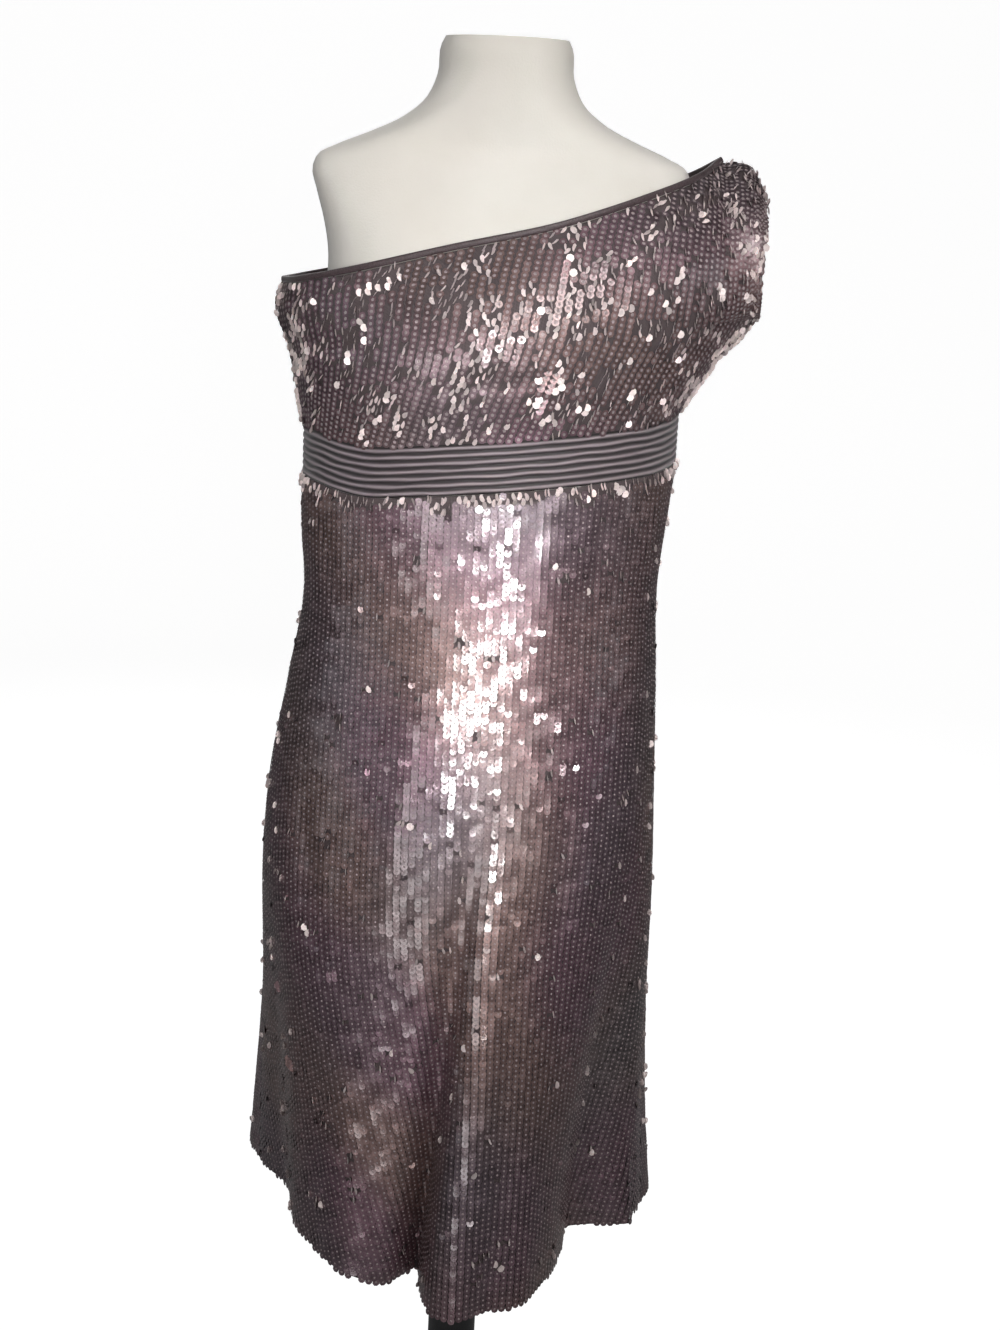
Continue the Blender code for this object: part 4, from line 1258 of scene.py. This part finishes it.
def rounded_corner(radius, height, way):
    """Points of a quarter circle just inside a corner at this radius and height. way is 1 for
    an upper corner and -1 for a lower one, which is listed from its side to its underside."""
    turn = np.linspace(0, np.pi / 2, ROUNDING_POINTS)
    inward = ROUNDING * (1 - np.sin(turn))
    drop = ROUNDING * (1 - np.cos(turn))
    pairs = [(radius - i, height - way * d) for i, d in zip(inward, drop)]
    return pairs if way > 0 else pairs[::-1]


black, tree, shader = new_material("stand_black", Coat_Weight=0.3, Coat_Roughness=0.25)
wear = object_noise(tree, 60.0, detail=5.0)
paint(tree, shader, wear, [(0.3, (0.010, 0.010, 0.011)), (0.8, (0.022, 0.022, 0.024))])
rough = add_node(tree, "ShaderNodeMapRange", {"Value": wear, "To Min": 0.34, "To Max": 0.52})
tree.links.new(rough.outputs["Result"], shader.inputs["Roughness"])
add_bump(tree, shader, wear, 0.0002, 0.3)

pole_top = WAIST_HEIGHT - FORM_BOTTOM - SEAM_GAP
pole_foot = BASE_HEIGHT + SEAM_GAP
pole_profile = rounded_corner(POLE_RADIUS, pole_top, 1) + rounded_corner(POLE_RADIUS, pole_foot, -1)
pole = add_piece(closed_rings("pole_tube", turned_grid(pole_profile)), [black])
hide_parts("stand_pole")

dome = [(BASE_CROWN + (BASE_RADIUS - BASE_CROWN) * t,
         BASE_RIM + (BASE_HEIGHT - BASE_RIM) * (1 - t**BASE_CURVE))
        for t in np.linspace(0, DOME_END, DOME_POINTS)]
base_profile = [(AXIS_RADIUS, BASE_HEIGHT), *dome, *rounded_corner(BASE_RADIUS, BASE_RIM, 1),
                *rounded_corner(BASE_RADIUS, 0.0, -1), (AXIS_RADIUS, 0.0)]
base = add_piece(closed_rings("base_dome", turned_grid(base_profile)), [black])
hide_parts("stand_base")
print(f"stand: pole {pole_top - pole_foot:.3f} m long, base {2 * BASE_RADIUS:.3f} m across")

# %% [markdown]
# ## Lengths of the cloth pieces
#
# For each net panel and each half of the band, the length of its longest column is
# worked out.

for (part, side), (piece, grid) in cloth_pieces.items():
    length = max(np.linalg.norm(np.diff(line, axis=0), axis=1).sum()
                 for line in grid.transpose(1, 0, 2))

# %% [markdown]
# ## Studio
#
# A pale sweep stands behind the form and soft lights stand round it. One small lamp close to the
# camera makes the sequins that face it flash white, as a lamp on a camera does.

# %% Camera
CAMERA_PLACE = Vector((0.0, -1.54, 1.375))
CAMERA_DOWN = math.radians(14.834)
CAMERA_TURN = math.radians(0.604)
CAMERA_ROLL = math.radians(2.665)
CAMERA_LENS = 52.4

ahead = Vector((math.sin(CAMERA_TURN) * math.cos(CAMERA_DOWN),
                math.cos(CAMERA_TURN) * math.cos(CAMERA_DOWN), -math.sin(CAMERA_DOWN)))
level_right = Vector((math.cos(CAMERA_TURN), -math.sin(CAMERA_TURN), 0.0))
level_up = level_right.cross(ahead)
right = math.cos(CAMERA_ROLL) * level_right + math.sin(CAMERA_ROLL) * level_up
up = right.cross(ahead)

camera_data = bpy.data.cameras.new("camera")
camera_data.lens = CAMERA_LENS
camera_data.sensor_width = 36.0
camera = bpy.data.objects.new("camera", camera_data)
bpy.context.scene.collection.objects.link(camera)
turn = Matrix((right, up, -ahead)).transposed().to_4x4()
camera.matrix_world = Matrix.Translation(CAMERA_PLACE) @ turn
bpy.context.scene.camera = camera
print("camera looks along", [round(x, 3) for x in ahead])

# %% Sweep
SWEEP_FLOOR = 3.6
SWEEP_BEND = 1.2
SWEEP_HEIGHT = 5.5
SWEEP_STEPS = 24
SWEEP_GLOW = 0.92           # keeps the paper white to the camera without lighting the dress

bend = np.linspace(0, np.pi / 2, SWEEP_STEPS)
sweep_profile = [(SWEEP_FLOOR + SWEEP_BEND, SWEEP_HEIGHT)]
sweep_profile += [(SWEEP_FLOOR + SWEEP_BEND * np.cos(t), SWEEP_BEND * (1 - np.sin(t))) for t in bend]
sweep_profile += [(AXIS_RADIUS, 0.0)]
faces = grid_faces(len(sweep_profile), TURNED_SIDES, closed=True)[:, ::-1]
sweep_mesh = make_mesh("sweep", turned_grid(sweep_profile).reshape(-1, 3), faces)
sweep = bpy.data.objects.new("sweep", sweep_mesh)
bpy.context.scene.collection.objects.link(sweep)
paper, tree, shader = new_material("sweep_paper", Roughness=0.9,
                                   Base_Color=(0.30, 0.30, 0.30, 1.0))
seen = add_node(tree, "ShaderNodeLightPath")
glow = add_node(tree, "ShaderNodeMath", {0: seen.outputs["Is Camera Ray"], 1: SWEEP_GLOW},
                operation="MULTIPLY")
shader.inputs["Emission Color"].default_value = (1.0, 1.0, 1.0, 1.0)
tree.links.new(glow.outputs["Value"], shader.inputs["Emission Strength"])
sweep_mesh.materials.append(paper)
sweep_mesh.shade_smooth()

# %% Lights
CHEST = Vector((0.0, 0.0, 1.15))
SKY_STRENGTH = 0.19


def add_light(name, place, width, power, colour=(1.0, 1.0, 1.0), spread=180):
    """A round soft light that looks at the chest. A small spread keeps it to what it looks at."""
    data = bpy.data.lights.new(name, "AREA")
    data.shape = "DISK"
    data.size = width
    data.energy = power
    data.color = colour
    data.spread = math.radians(spread)
    light = bpy.data.objects.new(name, data)
    bpy.context.scene.collection.objects.link(light)
    light.location = place
    light.rotation_euler = (CHEST - Vector(place)).to_track_quat("-Z", "Y").to_euler()
    light.visible_camera = False
    return light


add_light("camera_lamp", (0.12, -1.62, 1.42), 0.24, 1.18, spread=44)
add_light("front_wide", (0.35, -2.8, 2.5), 2.2, 4.0, (1.0, 0.97, 0.94))
add_light("top_front", (1.05, -2.1, 2.9), 1.4, 33.0, (1.0, 0.98, 0.97))
add_light("left_front", (-1.1, -2.2, 1.15), 0.8, 7.5, (1.0, 0.96, 0.96))
add_light("right_front", (1.3, -2.1, 1.95), 0.9, 4.0, (1.0, 0.96, 0.92))
add_light("left_soft", (-2.4, -0.8, 1.9), 2.0, 5.5, (0.88, 0.95, 1.0))
add_light("right_soft", (2.4, -0.4, 1.8), 1.2, 3.0, (0.9, 0.95, 1.0))
add_light("back_soft", (-0.6, 2.7, 2.3), 2.0, 24.0)

world = bpy.data.worlds.new("studio")
bpy.context.scene.world = world
world.use_nodes = True
sky = world.node_tree.nodes["Background"]
sky.inputs["Color"].default_value = (1.0, 1.0, 1.0, 1.0)
sky.inputs["Strength"].default_value = SKY_STRENGTH
bpy.context.scene.view_settings.view_transform = "Standard"
